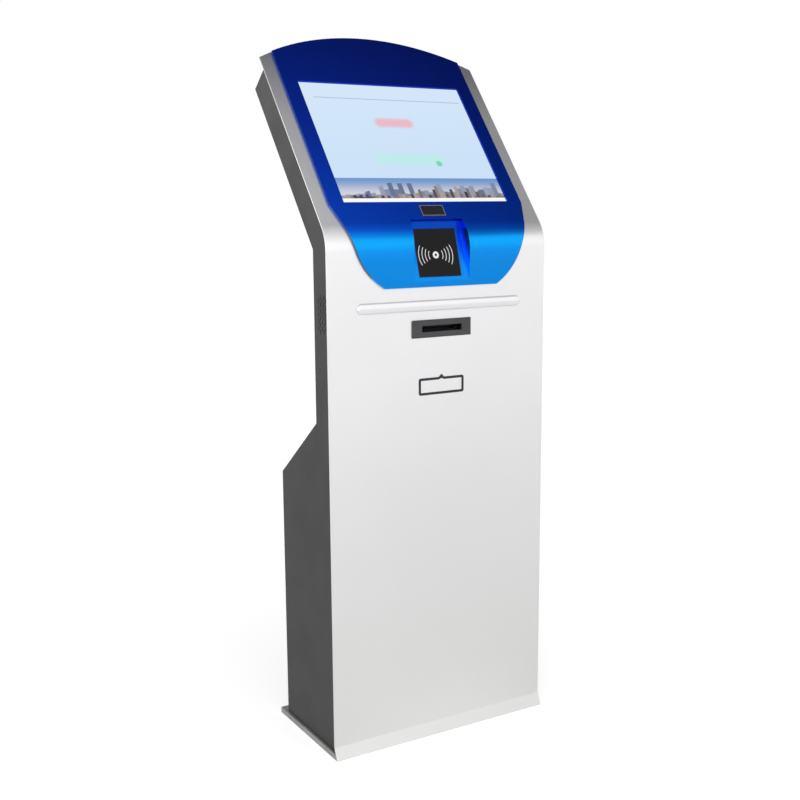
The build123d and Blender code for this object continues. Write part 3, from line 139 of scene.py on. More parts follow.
def keep(node, material):
    """Leaves a CAD piece as it is and gives it its finish."""
    mesh = frame["nodes"][node].data
    mesh.materials.clear()
    mesh.materials.append(material)


def smooth(mesh, angle=35):
    """Smooth shading with creases only at edges sharper than the angle."""
    mesh.polygons.foreach_set("use_smooth", [True] * len(mesh.polygons))
    mesh.set_sharp_from_angle(angle=math.radians(angle))


def baked(maker, name):
    """The evaluated mesh of an object with modifiers, as a new plain object; the maker goes."""
    graph = bpy.context.evaluated_depsgraph_get()
    mesh = bpy.data.meshes.new_from_object(maker.evaluated_get(graph))
    mesh.name = name
    bpy.data.objects.remove(maker)
    piece = bpy.data.objects.new(name, mesh)
    bpy.context.scene.collection.objects.link(piece)
    return piece


weld_reach = 3e-6
flat_within = 0.4


def eased(node, name, radius, material, body="cabinet", segments=3, crease=32):
    """The CAD piece again with its sharp edges eased to a radius, as folded or moulded edges are.

    Corners within weld_reach metres are merged first, and faces flat within a part of a degree
    are joined, so that the bevel follows whole edges.  Crease is the sharpness that it works on.
    """
    mesh = frame["nodes"][node].data.copy()
    shape = bmesh.new()
    shape.from_mesh(mesh)
    bmesh.ops.remove_doubles(shape, verts=shape.verts, dist=weld_reach)
    bmesh.ops.dissolve_limit(shape, angle_limit=math.radians(flat_within), verts=shape.verts,
                             edges=shape.edges)
    shape.to_mesh(mesh)
    shape.free()
    if "custom_normal" in mesh.attributes:
        mesh.attributes.remove(mesh.attributes["custom_normal"])
    mesh.materials.clear()
    mesh.materials.append(material)
    smooth(mesh, crease)
    maker = bpy.data.objects.new(name + "_maker", mesh)
    bpy.context.scene.collection.objects.link(maker)
    bevel = maker.modifiers.new("ease", "BEVEL")
    bevel.width = radius
    bevel.segments = segments
    bevel.limit_method = "ANGLE"
    bevel.angle_limit = math.radians(crease)
    bevel.use_clamp_overlap = True
    bevel.miter_outer = "MITER_ARC"
    weigh = maker.modifiers.new("weigh", "WEIGHTED_NORMAL")
    weigh.keep_sharp = True
    weigh.weight = 80
    bpy.context.view_layer.update()
    piece = baked(maker, name)
    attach(piece, body)
    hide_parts(node)
    return piece


plate_paint = finish("plate_grey_coat", shade(150, 149, 147), 0.45, mottle=0.08, relief=0.2)
eased("floor_plate", "floor_slab", 0.0012, plate_paint)

# ---- front panel ---------------------------------------------------------------
# One sheet of 2 mm steel: a flared skirt, a tall upright face, a round bend and the leaning head,
# with its side edges folded back.  Sprayed in a bright silver-white that shines softly.  Its colour
# carries painted shade: darker and a little warmer towards the foot, and much darker over the
# leaning head, standing in for the dark ceiling that the head mirrors.

panel_paint = finish("panel_silver_coat", shade(247, 247, 248), 0.34, metallic=0.86, mottle=0.008, patch=0.35,
                     rough_play=0.02, grain=0.0007, relief=0.04, Coat_Weight=0.2, Coat_Roughness=0.12)
backwards, upwards = 1, 2


def paint_light_along(material, axis, stops):
    """Paints light and shade into a finish's colour: multiplies it by tones set at places, in metres,
    backwards or upwards.
    """
    shader = material.node_tree.nodes["Principled BSDF"]
    plain = shader.inputs["Base Color"].links[0].from_socket
    place = wire(material, "ShaderNodeTexCoord").outputs["Object"]
    along = wire(material, "ShaderNodeSeparateXYZ", Vector=place).outputs[axis]
    first, last = stops[0][0], stops[-1][0]
    share = wire(material, "ShaderNodeMapRange", Value=along, From_Min=first, From_Max=last).outputs["Result"]
    bands = wire(material, "ShaderNodeValToRGB", Fac=share)
    while len(bands.color_ramp.elements) < len(stops):
        bands.color_ramp.elements.new(0.5)
    for element, (value, tone) in zip(bands.color_ramp.elements, stops):
        element.position = (value - first) / (last - first)
        element.color = (*tone, 1.0)
    whole = wire(material, "ShaderNodeMix", {"data_type": "RGBA", "blend_type": "MULTIPLY"}, no0=1.0,
                 no6=plain, no7=bands.outputs["Color"])
    material.node_tree.links.new(whole.outputs[2], shader.inputs["Base Color"])


# Painted shade, not the paint's colour: dimmer towards the foot, and dark over the leaning head where it
# stands in for the mirrored dark ceiling.
paint_light_along(panel_paint, upwards, ((0.0, (0.80, 0.805, 0.775)), (0.75, (1, 1, 1)), (1.10, (1, 1, 1)),
                                   (1.25, (0.86, 0.86, 0.88)), (1.41, (0.36, 0.37, 0.40))))
eased("front_panel", "folded_front", 0.0009, panel_paint, crease=16)

# ---- dark sides ----------------------------------------------------------------
# Two sheets of 1.5 mm steel in a fine-textured dark grey powder coat, one to each side, with the
# loudspeaker's slots cut through them.  Their flanges carry the covers.

body_paint = finish("body_textured_coat", shade(47, 46, 46), 0.5, mottle=0.03, patch=0.2, rough_play=0.03,
                    grain=0.0009, relief=0.45, Specular_IOR_Level=0.45)
for side in ("left", "right"):
    eased(f"side_panel_{side}", f"dark_side_{side}", 0.0006, body_paint)

# ---- head cover, neck cover and top cap ----------------------------------------
# Three folded sheets that close the back of the head and the neck.  They sit inside the sides'
# edges and are screwed to the flanges; the head cover has the fan's slots.

cover_paint = finish("cover_textured_coat", shade(46, 45, 45), 0.52, mottle=0.03, patch=0.16, rough_play=0.03,
                     grain=0.0009, relief=0.45)
for node, name in (("head_cover", "head_back"), ("neck_cover", "neck_back"), ("top_cap", "head_top")):
    eased(node, name, 0.0006, cover_paint)

# ---- rear frame and door seal --------------------------------------------------
# The frame round the service door is pressed from the same grey sheet, with a stop lip inside.
# A strip of black foam rubber is stuck to the lip and the door closes on it.

eased("rear_frame", "door_frame", 0.0006, cover_paint)
foam = finish("seal_foam_rubber", shade(32, 32, 33), 0.85, mottle=0.2, patch=0.01, grain=0.0008, relief=0.7)
keep("door_seal", foam)

# ---- service door --------------------------------------------------------------
# A folded steel tray behind the roll, computer and power supply, textured grey like the rest.
# Its ventilation slots have pressed hoods that shed water and hide the inside.

eased("service_door", "rear_door", 0.0008, body_paint, body="door")

hood_length = 0.074
hood_height = 0.0085
hood_proud = 0.0026
hood_pitch_x = 0.090
hood_pitch_z = 0.012
hood_rows = 6
hood_columns = 3
group_from_edge = 0.070


def tree_of(name, inputs):
    """A geometry tree with a mesh in, a mesh out and named inputs with their first values."""
    tree = bpy.data.node_groups.new(name, "GeometryNodeTree")
    tree.interface.new_socket("Geometry", in_out="INPUT", socket_type="NodeSocketGeometry")
    for label, kind, value in inputs:
        socket = tree.interface.new_socket(label, in_out="INPUT", socket_type=kind)
        if value is not None:
            socket.default_value = value
    tree.interface.new_socket("Geometry", in_out="OUTPUT", socket_type="NodeSocketGeometry")
    return tree, tree.nodes.new("NodeGroupInput"), tree.nodes.new("NodeGroupOutput")


def grown(tree, name, points, material, facing=None):
    """Runs a tree on a set of points and returns the plain mesh object that it makes."""
    mesh = bpy.data.meshes.new(name + "_points")
    mesh.from_pydata(points, [], [])
    if facing is not None:
        directions = mesh.attributes.new("facing", "FLOAT_VECTOR", "POINT")
        directions.data.foreach_set("vector", [value for direction in facing for value in direction])
    maker = bpy.data.objects.new(name + "_maker", mesh)
    bpy.context.scene.collection.objects.link(maker)
    modifier = maker.modifiers.new("grow", "NODES")
    modifier.node_group = tree
    for item in tree.interface.items_tree:
        if item.in_out == "INPUT" and item.name == "Finish":
            modifier[item.identifier] = material
    bpy.context.view_layer.update()
    piece = baked(maker, name)
    smooth(piece.data)
    return piece


def hood_tree():
    """A pressed louvre hood on every point: half a flattened capsule, open below."""
    tree, given, out = tree_of("pressed_hoods", [
        ("Length", "NodeSocketFloat", hood_length),
        ("Height", "NodeSocketFloat", hood_height),
        ("Proud", "NodeSocketFloat", hood_proud),
        ("Finish", "NodeSocketMaterial", None),
    ])
    size = part(tree, "ShaderNodeCombineXYZ", X=given.outputs["Length"], Y=given.outputs["Proud"],
                Z=given.outputs["Height"])
    ball = part(tree, "GeometryNodeMeshUVSphere", Segments=32, Rings=16, Radius=0.5)
    squashed = part(tree, "GeometryNodeTransform", Geometry=ball.outputs["Mesh"], Scale=size.outputs[0])
    thick = part(tree, "GeometryNodeTransform", Geometry=squashed.outputs[0], Scale=(1.0, 2.0, 1.0))
    room = part(tree, "GeometryNodeMeshCube", Size=(1.0, 1.0, 1.0))
    behind = part(tree, "GeometryNodeTransform", Geometry=room.outputs["Mesh"], Translation=(0, -0.5, 0))
    below = part(tree, "GeometryNodeTransform", Geometry=room.outputs["Mesh"], Translation=(0, 0, -0.5))
    cut = part(tree, "GeometryNodeMeshBoolean", {"operation": "DIFFERENCE"}, no0=thick.outputs[0])
    for cutter in (behind, below):
        tree.links.new(cutter.outputs[0], cut.inputs[1])
    copies = part(tree, "GeometryNodeInstanceOnPoints", Points=given.outputs["Geometry"],
                  Instance=cut.outputs["Mesh"])
    real = part(tree, "GeometryNodeRealizeInstances", Geometry=copies.outputs[0])
    coated = part(tree, "GeometryNodeSetMaterial", Geometry=real.outputs[0],
                  Material=given.outputs["Finish"])
    tree.links.new(coated.outputs[0], out.inputs["Geometry"])
    return tree


door_low, door_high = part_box("service_door")
hood_points = []
for middle in (door_low.z + group_from_edge, door_high.z - group_from_edge):
    for row in range(hood_rows):
        for column in range(hood_columns):
            across = (column - (hood_columns - 1) / 2) * hood_pitch_x
            up = middle + (row - (hood_rows - 1) / 2) * hood_pitch_z
            hood_points.append(((door_low.x + door_high.x) / 2 + across, door_high.y, up))
hoods = grown(hood_tree(), "door_louvres", hood_points, body_paint)
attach(hoods, "door")

# ---- door hinges and lock ------------------------------------------------------
# Two zinc-plated butt hinges, half on the frame and half on the door, on steel pins, and a
# chromed cam lock with its slot.  The cam behind it catches the frame's lip.

zinc = finish("zinc_plating", shade(176, 178, 180), 0.38, metallic=0.9, mottle=0.12, patch=0.02,
              grain=0.0006, relief=0.15)
bright = finish("bright_steel", shade(205, 205, 207), 0.24, metallic=1.0, mottle=0.05, patch=0.03,
                grain=0.0003, relief=0.08)
chrome = finish("lock_chrome", shade(214, 215, 218), 0.12, metallic=1.0, mottle=0.03, patch=0.02,
                rough_play=0.04, grain=0.0005, relief=0.03)
eased("hinge_frame_leaves", "frame_hinge_leaves", 0.0003, zinc)
eased("hinge_door_leaves", "door_hinge_leaves", 0.0003, zinc, body="door")
eased("hinge_pins", "hinge_steel_pins", 0.0004, bright)
eased("lock_barrel", "cam_lock_barrel", 0.0004, chrome, body="door")
eased("lock_cam", "cam_lock_cam", 0.0003, chrome, body="lock")

# ---- fascia --------------------------------------------------------------------
# A moulded cover over the head and the bend, with the screen's opening and a slanted pocket for
# the card reader.  It is lacquered in a metallic blue under a clear gloss; its colour carries painted
# light, an azure painted highlight round the bend and painted shade deepening above it.  Its rim is
# dull and darker, painted shade along its edge, and the pocket is darkened upwards as painted shade.


def widest_face(mesh):
    """The outward direction of a mesh's widest flat side."""
    totals = {}
    for face in mesh.polygons:
        key = tuple(round(value, 2) for value in face.normal)
        totals[key] = totals.get(key, 0.0) + face.area
    front = [key for key in totals if key[1] < 0]
    best = max(front, key=lambda key: totals[key])
    return max((f for f in mesh.polygons if tuple(round(v, 2) for v in f.normal) == best),
               key=lambda f: f.area).normal.copy()


def joint_of(name):
    """The row of a named joint: its place, its axis and the body that it moves."""
    return next(joint for joint in frame["joints"] if joint["name"] == name)


def lacquer_with_painted_light(name, stops):
    """Azure metallic lacquer under a thin clear coat, with painted light and shade in tones at heights."""
    material = finish(name, shade(14, 178, 255), 0.24, metallic=1.0, mottle=0.01, patch=0.2, rough_play=0.015,
                      grain=0.0005, relief=0.0, Coat_Weight=0.12, Coat_Roughness=0.04)
    paint_light_along(material, upwards, stops)
    return material


# Painted light in the tones: a painted highlight round the bend near 1.01 m and painted shade deepening up
# the head.
lacquer = lacquer_with_painted_light("fascia_lacquer_painted_light", (
    (0.970, (0.89, 0.61, 0.82)), (0.988, (0.75, 0.67, 0.90)), (1.008, (0.5, 0.88, 1.0)),
    (1.017, (0.45, 0.86, 1.0)), (1.025, (0.3, 0.56, 1.0)), (1.033, (0.1, 0.33, 1.0)),
    (1.045, (0.1, 0.23, 1.0)), (1.09, (0.1, 0.20, 0.98)), (1.24, (0.1, 0.115, 0.76)),
    (1.42, (0.1, 0.075, 0.56))))
fascia = eased("fascia", "blue_fascia", 0.0012, lacquer)

# The rim's dull darker blue is painted shade along the fascia's edge, darkest on the lower rim.
rim_painted_shade = finish("fascia_rim_painted_shade", shade(22, 68, 165), 0.4, mottle=0.05, patch=0.05, grain=0.0008,
                    relief=0.1)
paint_light_along(rim_painted_shade, upwards, ((1.03, (0.12, 0.12, 0.16)), (1.06, (1, 1, 1))))
# The pocket's lacquer is darkened upwards into the recess as painted shade.
pocket_painted_shade = lacquer_with_painted_light("pocket_lacquer_painted_shade", (
    (0.935, (0.89, 0.61, 0.82)), (0.960, (0.80, 0.58, 0.82)), (0.995, (0.4, 0.34, 0.78)),
    (1.03, (0.2, 0.17, 0.60))))
rim_slot, pocket_slot = 1, 2
fascia.data.materials.append(rim_painted_shade)
fascia.data.materials.append(pocket_painted_shade)
window_low, window_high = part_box("reader_window")
window_out = widest_face(frame["nodes"]["reader_window"].data)
glass_low, glass_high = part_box("touch_glass")
skin_out = Vector(joint_of("fan_spin")["axis"])
pocket_margin = 0.026
pocket_below_glass = 0.01
opening_margin = 0.001
skin_like = 0.75
rim_like = 0.45
window_like = 0.995
for face in fascia.data.polygons:
    near_pocket = window_low.x - pocket_margin < face.center.x < window_high.x + pocket_margin
    beside_glass = glass_low.x - opening_margin < face.center.x < glass_high.x + opening_margin
    in_opening = beside_glass and glass_low.z < face.center.z < glass_high.z
    level = max(abs(face.normal.y), abs(face.normal.dot(skin_out)))
    in_pocket = level < skin_like or face.normal.dot(window_out) > window_like
    if near_pocket and in_pocket and face.center.z < glass_low.z - pocket_below_glass:
        face.material_index = pocket_slot
    elif level < rim_like and not near_pocket and not in_opening:
        face.material_index = rim_slot

# ---- touch screen --------------------------------------------------------------
# A 3 mm sheet of glass bonded to the display, with polished edges, flush behind the fascia.  It
# shows a plain menu: a header line, two buttons with no words, and a row of made-up buildings.


picture_side_like = 0.98


def lay_picture(piece, outward):
    """Gives the outward side a map from 0 to 1, across and up the side, and its second finish."""
    up = Vector((0, -outward.y * outward.z, 1 - outward.z ** 2)).normalized()
    mesh = piece.data
    across = [v.co.x for v in mesh.vertices]
    along = [v.co.dot(up) for v in mesh.vertices]
    corner = (min(across), min(along))
    size = (max(across) - corner[0], max(along) - corner[1])
    for layer in list(mesh.uv_layers):
        mesh.uv_layers.remove(layer)
    layer = mesh.uv_layers.new(name="picture")
    for face in mesh.polygons:
        shown = face.normal.dot(outward) > picture_side_like
        face.material_index = 1 if shown else 0
        for loop in face.loop_indices:
            point = mesh.vertices[mesh.loops[loop].vertex_index].co
            layer.data[loop].uv = ((point.x - corner[0]) / size[0], (point.dot(up) - corner[1]) / size[1])
    return size


def flat_place(material):
    """Where a point lies on its piece's picture: its two shares, across and up."""
    place = wire(material, "ShaderNodeUVMap", {"uv_map": "picture"}).outputs[0]
    flat = wire(material, "ShaderNodeSeparateXYZ", Vector=place)
    return place, flat.outputs[0], flat.outputs[1]


def away(material, x, y):
    """The distance of a place from nought, given along two axes."""
    squares = [sums(material, "POWER", value, 2.0) for value in (x, y)]
    return sums(material, "SQRT", sums(material, "ADD", *squares))


def pill(material, across, up, middle, half, soft):
    """A rounded bar on the picture: 1 inside, 0 outside, soft metres wide at its edge."""
    over_x = sums(material, "ABSOLUTE", sums(material, "SUBTRACT", across, middle[0]))
    over_y = sums(material, "ABSOLUTE", sums(material, "SUBTRACT", up, middle[1]))
    round_end = min(half)
    past_x = sums(material, "MAXIMUM", sums(material, "SUBTRACT", over_x, half[0] - round_end), 0.0)
    past_y = sums(material, "MAXIMUM", sums(material, "SUBTRACT", over_y, half[1] - round_end), 0.0)
    far = away(material, past_x, past_y)
    return spread(material, far, round_end - soft, round_end + soft, 1.0, 0.0)


def bar(material, value, low, high, soft):
    """1 where a coordinate lies between two limits."""
    above = spread(material, value, low - soft, low + soft, 0.0, 1.0)
    below = spread(material, value, high - soft, high + soft, 1.0, 0.0)
    return sums(material, "MULTIPLY", above, below)


def blocks(material, across, up, count, seed, least, most, swell, street, tones):
    """A row of count made-up buildings: where it covers the view, and its colours.

    Each has a random height from least to most, times the swell, above the street.
    """
    block = sums(material, "FLOOR", sums(material, "MULTIPLY", across, count))
    seeded = sums(material, "ADD", block, seed)
    chance = wire(material, "ShaderNodeTexWhiteNoise", {"noise_dimensions": "1D"}, W=seeded).outputs["Value"]
    height = sums(material, "MULTIPLY", spread(material, chance, 0.0, 1.0, least, most), swell)
    over = sums(material, "SUBTRACT", sums(material, "ADD", height, street), up)
    other_chance = sums(material, "FRACT", sums(material, "MULTIPLY", chance, 7.3))
    return spread(material, over, -0.002, 0.002, 0.0, 1.0), tint(material, other_chance, *tones)


# Middle as shares of the picture, half size and soft edge in metres, strength and colour.
menu_bars = (((0.49, 0.67), (0.044, 0.011), 0.006, 0.62, shade(252, 150, 160)),
             ((0.50, 0.36), (0.082, 0.013), 0.008, 0.55, shade(178, 246, 226)),
             ((0.67, 0.325), (0.007, 0.007), 0.002, 0.7, shade(70, 205, 150)))
# The header rule and the view of the town, as shares of the picture's width and height.
rule_foot, rule_top = 0.871, 0.877
rule_left, rule_right = 0.06, 0.975
view_foot, view_top = 0.036, 0.20


def menu_picture(width, height):
    """The picture on the display, drawn in metres over the whole screen."""
    material, shader, link = blank("screen_picture")
    place, u, v = flat_place(material)
    x = sums(material, "MULTIPLY", u, width)
    y = sums(material, "MULTIPLY", v, height)

    page = spread(material, v, 0.2, 1.0, 0.0, 1.0)
    picture = tint(material, page, shade(205, 228, 250), shade(214, 233, 252))
    for (share_x, share_y), half, soft, strength, tone in menu_bars:
        mark = pill(material, x, y, (share_x * width, share_y * height), half, soft)
        picture = tint(material, sums(material, "MULTIPLY", mark, strength), picture, tone)
    rule_y = bar(material, v, rule_foot, rule_top, 0.0015)
    rule = sums(material, "MULTIPLY", rule_y, bar(material, u, rule_left, rule_right, 0.004))
    picture = tint(material, sums(material, "MULTIPLY", rule, 0.6), picture, shade(120, 132, 145))

    haze = spread(material, v, 0.05, view_top, 0.0, 1.0)
    view = tint(material, haze, shade(216, 216, 222), shade(108, 150, 205))
    town = spread(material, u, 0.04, 0.34, 0.15, 1.0)
    covered, tones = blocks(material, u, v, count=34.0, seed=5.0, least=0.02, most=0.115, swell=town,
                            street=0.05, tones=(shade(96, 112, 146), shade(160, 166, 186)))
    view = tint(material, covered, view, tones)
    roof_wave = sums(material, "SINE", sums(material, "SUBTRACT", sums(material, "MULTIPLY", u, 9.0), 4.3))
    centre = sums(material, "MULTIPLY", town, spread(material, roof_wave, -1.0, 1.0, 0.5, 1.35))
    covered, tones = blocks(material, u, v, count=56.0, seed=11.0, least=0.012, most=0.07, swell=centre,
                            street=0.045, tones=(shade(50, 54, 68), shade(190, 176, 168)))
    windows = wire(material, "ShaderNodeTexBrick", Vector=place, Color1=(1, 1, 1, 1),
                   Color2=(0.7, 0.7, 0.7, 1), Mortar=(0.35, 0.35, 0.38, 1), Scale=70.0, Mortar_Size=0.03)
    lit = wire(material, "ShaderNodeMix", {"data_type": "RGBA", "blend_type": "MULTIPLY"}, no0=0.6,
               no6=tones, no7=windows.outputs[0]).outputs[2]
    view = tint(material, covered, view, lit)
    picture = tint(material, bar(material, v, view_foot, view_top, 0.001), picture, view)
    foot = spread(material, v, view_foot - 0.001, view_foot + 0.001, 1.0, 0.0)
    picture = tint(material, foot, picture, shade(250, 251, 253))
    shader.inputs["Base Color"].default_value = shade(26, 30, 34)
    link(picture, shader.inputs["Emission Color"])
    shader.inputs["Emission Strength"].default_value = 0.95
    smear = spread(material, cloud(material, 0.03, detail=4.0), 0.35, 0.75, 0.06, 0.16)
    link(smear, shader.inputs["Roughness"])
    return material


glass_edge = finish("glass_edge", shade(24, 40, 44), 0.1, mottle=0.1, patch=0.05, grain=0.001, relief=0.02,
                    Coat_Weight=1.0)
glass = eased("touch_glass", "touch_screen", 0.0004, glass_edge)
glass_out = widest_face(frame["nodes"]["touch_glass"].data)
glass_size = lay_picture(glass, glass_out)
glass.data.materials.append(menu_picture(*glass_size))

# ---- display, its housing and brackets -----------------------------------------
# The display's metal frame, its black steel housing with slots for air, and four zinc-plated
# brackets that hold them to the inside of the front.

display_steel = finish("display_black_steel", shade(38, 39, 41), 0.46, metallic=0.35, mottle=0.08, patch=0.05,
                       grain=0.0007, relief=0.2)
eased("lcd_panel", "display_module", 0.0006, display_steel)
eased("display_housing", "display_case", 0.0006, display_steel)
eased("display_brackets", "display_bracket_set", 0.0005, zinc)

# ---- card reader and its window ------------------------------------------------
# A smoked acrylic window in the pocket, printed on its back with a ring and waves spreading from
# it, over a black plastic reader that needs no contact with the card.

window_edge = finish("window_edge", shade(26, 25, 28), 0.2, mottle=0.1, patch=0.02, grain=0.0008, relief=0.04)
window = eased("reader_window", "reader_cover", 0.0004, window_edge)
window_size = lay_picture(window, window_out)


def wave_print(width, height):
    """Smoked black with a white ring at its middle and four arcs to each side of it.

    The arcs stop where they rise more steeply from the ring than the spread, a sine.
    """
    ring_radius = 0.0048
    ring_line = 0.0044
    wave_radii = (0.0163, 0.0238, 0.0312, 0.0388)
    wave_line = 0.0015
    ink_edge = 0.0002
    wave_spread = 0.50
    print_across, print_up = 0.455, 0.45
    material, shader, link = blank("smoked_acrylic_print")
    _, u, v = flat_place(material)
    x = sums(material, "MULTIPLY", sums(material, "SUBTRACT", u, print_across), width)
    y = sums(material, "MULTIPLY", sums(material, "SUBTRACT", v, print_up), height)
    far = away(material, x, y)
    inked = bar(material, far, ring_radius - ring_line / 2, ring_radius + ring_line / 2, ink_edge)
    steep = sums(material, "DIVIDE", sums(material, "ABSOLUTE", y), sums(material, "MAXIMUM", far, 0.0001))
    beside = spread(material, steep, wave_spread - 0.02, wave_spread + 0.02, 1.0, 0.0)
    for radius in wave_radii:
        wave = bar(material, far, radius - wave_line / 2, radius + wave_line / 2, ink_edge)
        inked = sums(material, "MAXIMUM", inked, sums(material, "MULTIPLY", wave, beside))
    smoked = tint(material, cloud(material, 0.02), shade(10, 8, 10), shade(18, 14, 16))
    link(tint(material, inked, smoked, shade(232, 232, 232)), shader.inputs["Base Color"])
    shader.inputs["Specular IOR Level"].default_value = 0.22
    link(spread(material, cloud(material, 0.05), 0.3, 0.7, 0.2, 0.26), shader.inputs["Roughness"])
    return material


window.data.materials.append(wave_print(*window_size))

module_plastic = finish("module_black_plastic", shade(36, 36, 38), 0.5, mottle=0.08, patch=0.02,
                        grain=0.0006, relief=0.5)
eased("card_reader", "reader_module", 0.0010, module_plastic)

# ---- badge plate ---------------------------------------------------------------
# A small black plate under the screen with a bright line round it.  It carries no mark here.


def bordered(name, width, height, field, line, inset, line_width):
    """A plate's face with a thin line run round it, inset from its edge."""
    material, shader, link = blank(name)
    _, u, v = flat_place(material)
    x = sums(material, "ABSOLUTE", sums(material, "SUBTRACT", u, 0.5))
    y = sums(material, "ABSOLUTE", sums(material, "SUBTRACT", v, 0.5))
    in_x = sums(material, "SUBTRACT", width / 2, sums(material, "MULTIPLY", x, width))
    in_y = sums(material, "SUBTRACT", height / 2, sums(material, "MULTIPLY", y, height))
    edge = sums(material, "MINIMUM", in_x, in_y)
    lined = bar(material, edge, inset, inset + line_width, 0.0001)
    ground = tint(material, cloud(material, 0.008), field, [value * 1.6 for value in field[:3]] + [1.0])
    link(tint(material, lined, ground, line), shader.inputs["Base Color"])
    link(spread(material, cloud(material, 0.004), 0.3, 0.7, 0.2, 0.32), shader.inputs["Roughness"])
    return material


badge_edge = finish("badge_edge", shade(120, 120, 122), 0.3, metallic=0.8, mottle=0.05, patch=0.01)
badge = eased("badge_plate", "blank_badge", 0.0003, badge_edge)
badge_size = lay_picture(badge, glass_out)
badge.data.materials.append(bordered("badge_face", *badge_size, field=shade(22, 23, 22),
                                     line=shade(150, 152, 150), inset=0.0008, line_width=0.0009))

# ---- trim bar ------------------------------------------------------------------
# A half-round bar of white plastic right across the front, clipped on above the ticket slot.  Its
# colour carries painted shade: darker along both edges, as light falls on a round bar, and a painted
# shadow where it meets the panel.

trim_white = finish("trim_white_plastic", shade(250, 250, 252), 0.3, metallic=0.5, mottle=0.004, patch=0.2,
                    rough_play=0.02, grain=0.0009, relief=0.02, Coat_Weight=0.3)
trim_low, trim_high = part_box("trim_bar")
trim_tall = trim_high.z - trim_low.z
# Painted shade up the bar: darker at its lower and upper edges, lightest across its upper half.
trim_shade_bands = ((0.0, 0.62), (0.08, 0.83), (0.42, 0.86), (0.56, 1.0), (0.88, 1.0), (0.95, 0.88), (1.0, 0.7))
trim_shade_tones = [(trim_low.z + share * trim_tall, (tone,) * 3) for share, tone in trim_shade_bands]
paint_light_along(trim_white, upwards, trim_shade_tones)
# A painted shadow in the seam where the bar meets the panel.
trim_seam_shadow = ((-0.003, 1.0), (-0.0014, 1.0), (-0.0006, 0.55), (0.0, 0.45))
paint_light_along(trim_white, backwards, [(trim_high.y + back, (tone,) * 3) for back, tone in trim_seam_shadow])
eased("trim_bar", "half_round_trim", 0.0004, trim_white)

# ---- ticket bezel --------------------------------------------------------------
# A dark grey moulding round the ticket slot, with a chamfered rim and a throat through the panel
# whose colour is painted near-black a few millimetres in, as painted shade.

bezel_plastic = finish("bezel_grey_plastic", shade(62, 60, 62), 0.42, mottle=0.05, patch=0.03, grain=0.0006,
                       relief=0.35)
bezel_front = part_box("ticket_bezel")[0].y
# Painted shade down the throat.
throat_shade_tones = ((0.0, 1.0), (0.0016, 0.9), (0.0030, 0.05))
paint_light_along(bezel_plastic, backwards, [(bezel_front + back, (tone,) * 3) for back, tone in throat_shade_tones])
eased("ticket_bezel", "slot_surround", 0.0005, bezel_plastic)

# ---- ticket label --------------------------------------------------------------
# A printed black outline with a pointer up to the slot.  The words inside it are left out.

label_ink = finish("label_black_ink", shade(34, 34, 36), 0.55, mottle=0.1, patch=0.01, grain=0.0005,
                   relief=0.1)
label_line = 0.0050
label_corner = 0.0045
least_bend = 0.0008
pointer_half = 0.0062
pointer_height = 0.006


def label_loop(low, high, inset, peak, steps=6):
    """A rounded outline with a peak in the middle of its top, inset from the label's edge."""
    left, right = low.x + inset, high.x - inset
    foot, top = low.z + inset, high.z - pointer_height - inset
    bend = max(label_corner - inset, least_bend)
    points = []
    turns = ((right - bend, foot + bend, -90), (right - bend, top - bend, 0),
             (left + bend, top - bend, 90), (left + bend, foot + bend, 180))
    for count, (x, z, start) in enumerate(turns):
        for step in range(steps + 1):
            angle = math.radians(start + 90 * step / steps)
            points.append((x + bend * math.cos(angle), z + bend * math.sin(angle)))
        if count == 1:
            middle = (low.x + high.x) / 2
            points += [(middle + pointer_half, top), (middle, top + peak), (middle - pointer_half, top)]
    return points


label_low, label_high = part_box("ticket_label")
inner_peak = 0.45 * pointer_height
loops = (label_loop(label_low, label_high, 0.0, pointer_height)
         + label_loop(label_low, label_high, label_line, inner_peak))
turn = len(loops) // 2
outline = [(x, depth, z) for depth in (label_high.y, label_low.y) for x, z in loops]
outline_faces = []
for here in range(turn):
    after = (here + 1) % turn
    outline_faces.append((here, after, turn + after, turn + here))
    outline_faces.append((2 * turn + here, 3 * turn + here, 3 * turn + after, 2 * turn + after))
    outline_faces.append((here, 2 * turn + here, 2 * turn + after, after))
    outline_faces.append((turn + here, turn + after, 3 * turn + after, 3 * turn + here))
label_mesh = bpy.data.meshes.new("slot_label")
label_mesh.from_pydata(outline, [], outline_faces)
label_shape = bmesh.new()
label_shape.from_mesh(label_mesh)
bmesh.ops.recalc_face_normals(label_shape, faces=label_shape.faces)
label_shape.to_mesh(label_mesh)
label_shape.free()
label_mesh.materials.append(label_ink)
label = bpy.data.objects.new("slot_label", label_mesh)
bpy.context.scene.collection.objects.link(label)
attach(label, "cabinet")
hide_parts("ticket_label")

# ---- ticket printer ------------------------------------------------------------
# A zinc-plated chassis behind the slot holds a rubber platen driven through nylon gears, a
# sprung thermal head on a green release lever, paper guides, and a cutter with its motor.  Round
# its mouth the zinc is painted near-black, painted shade that keeps the slot dark, and the black
# paper chute is painted darker still as shade in the slot.

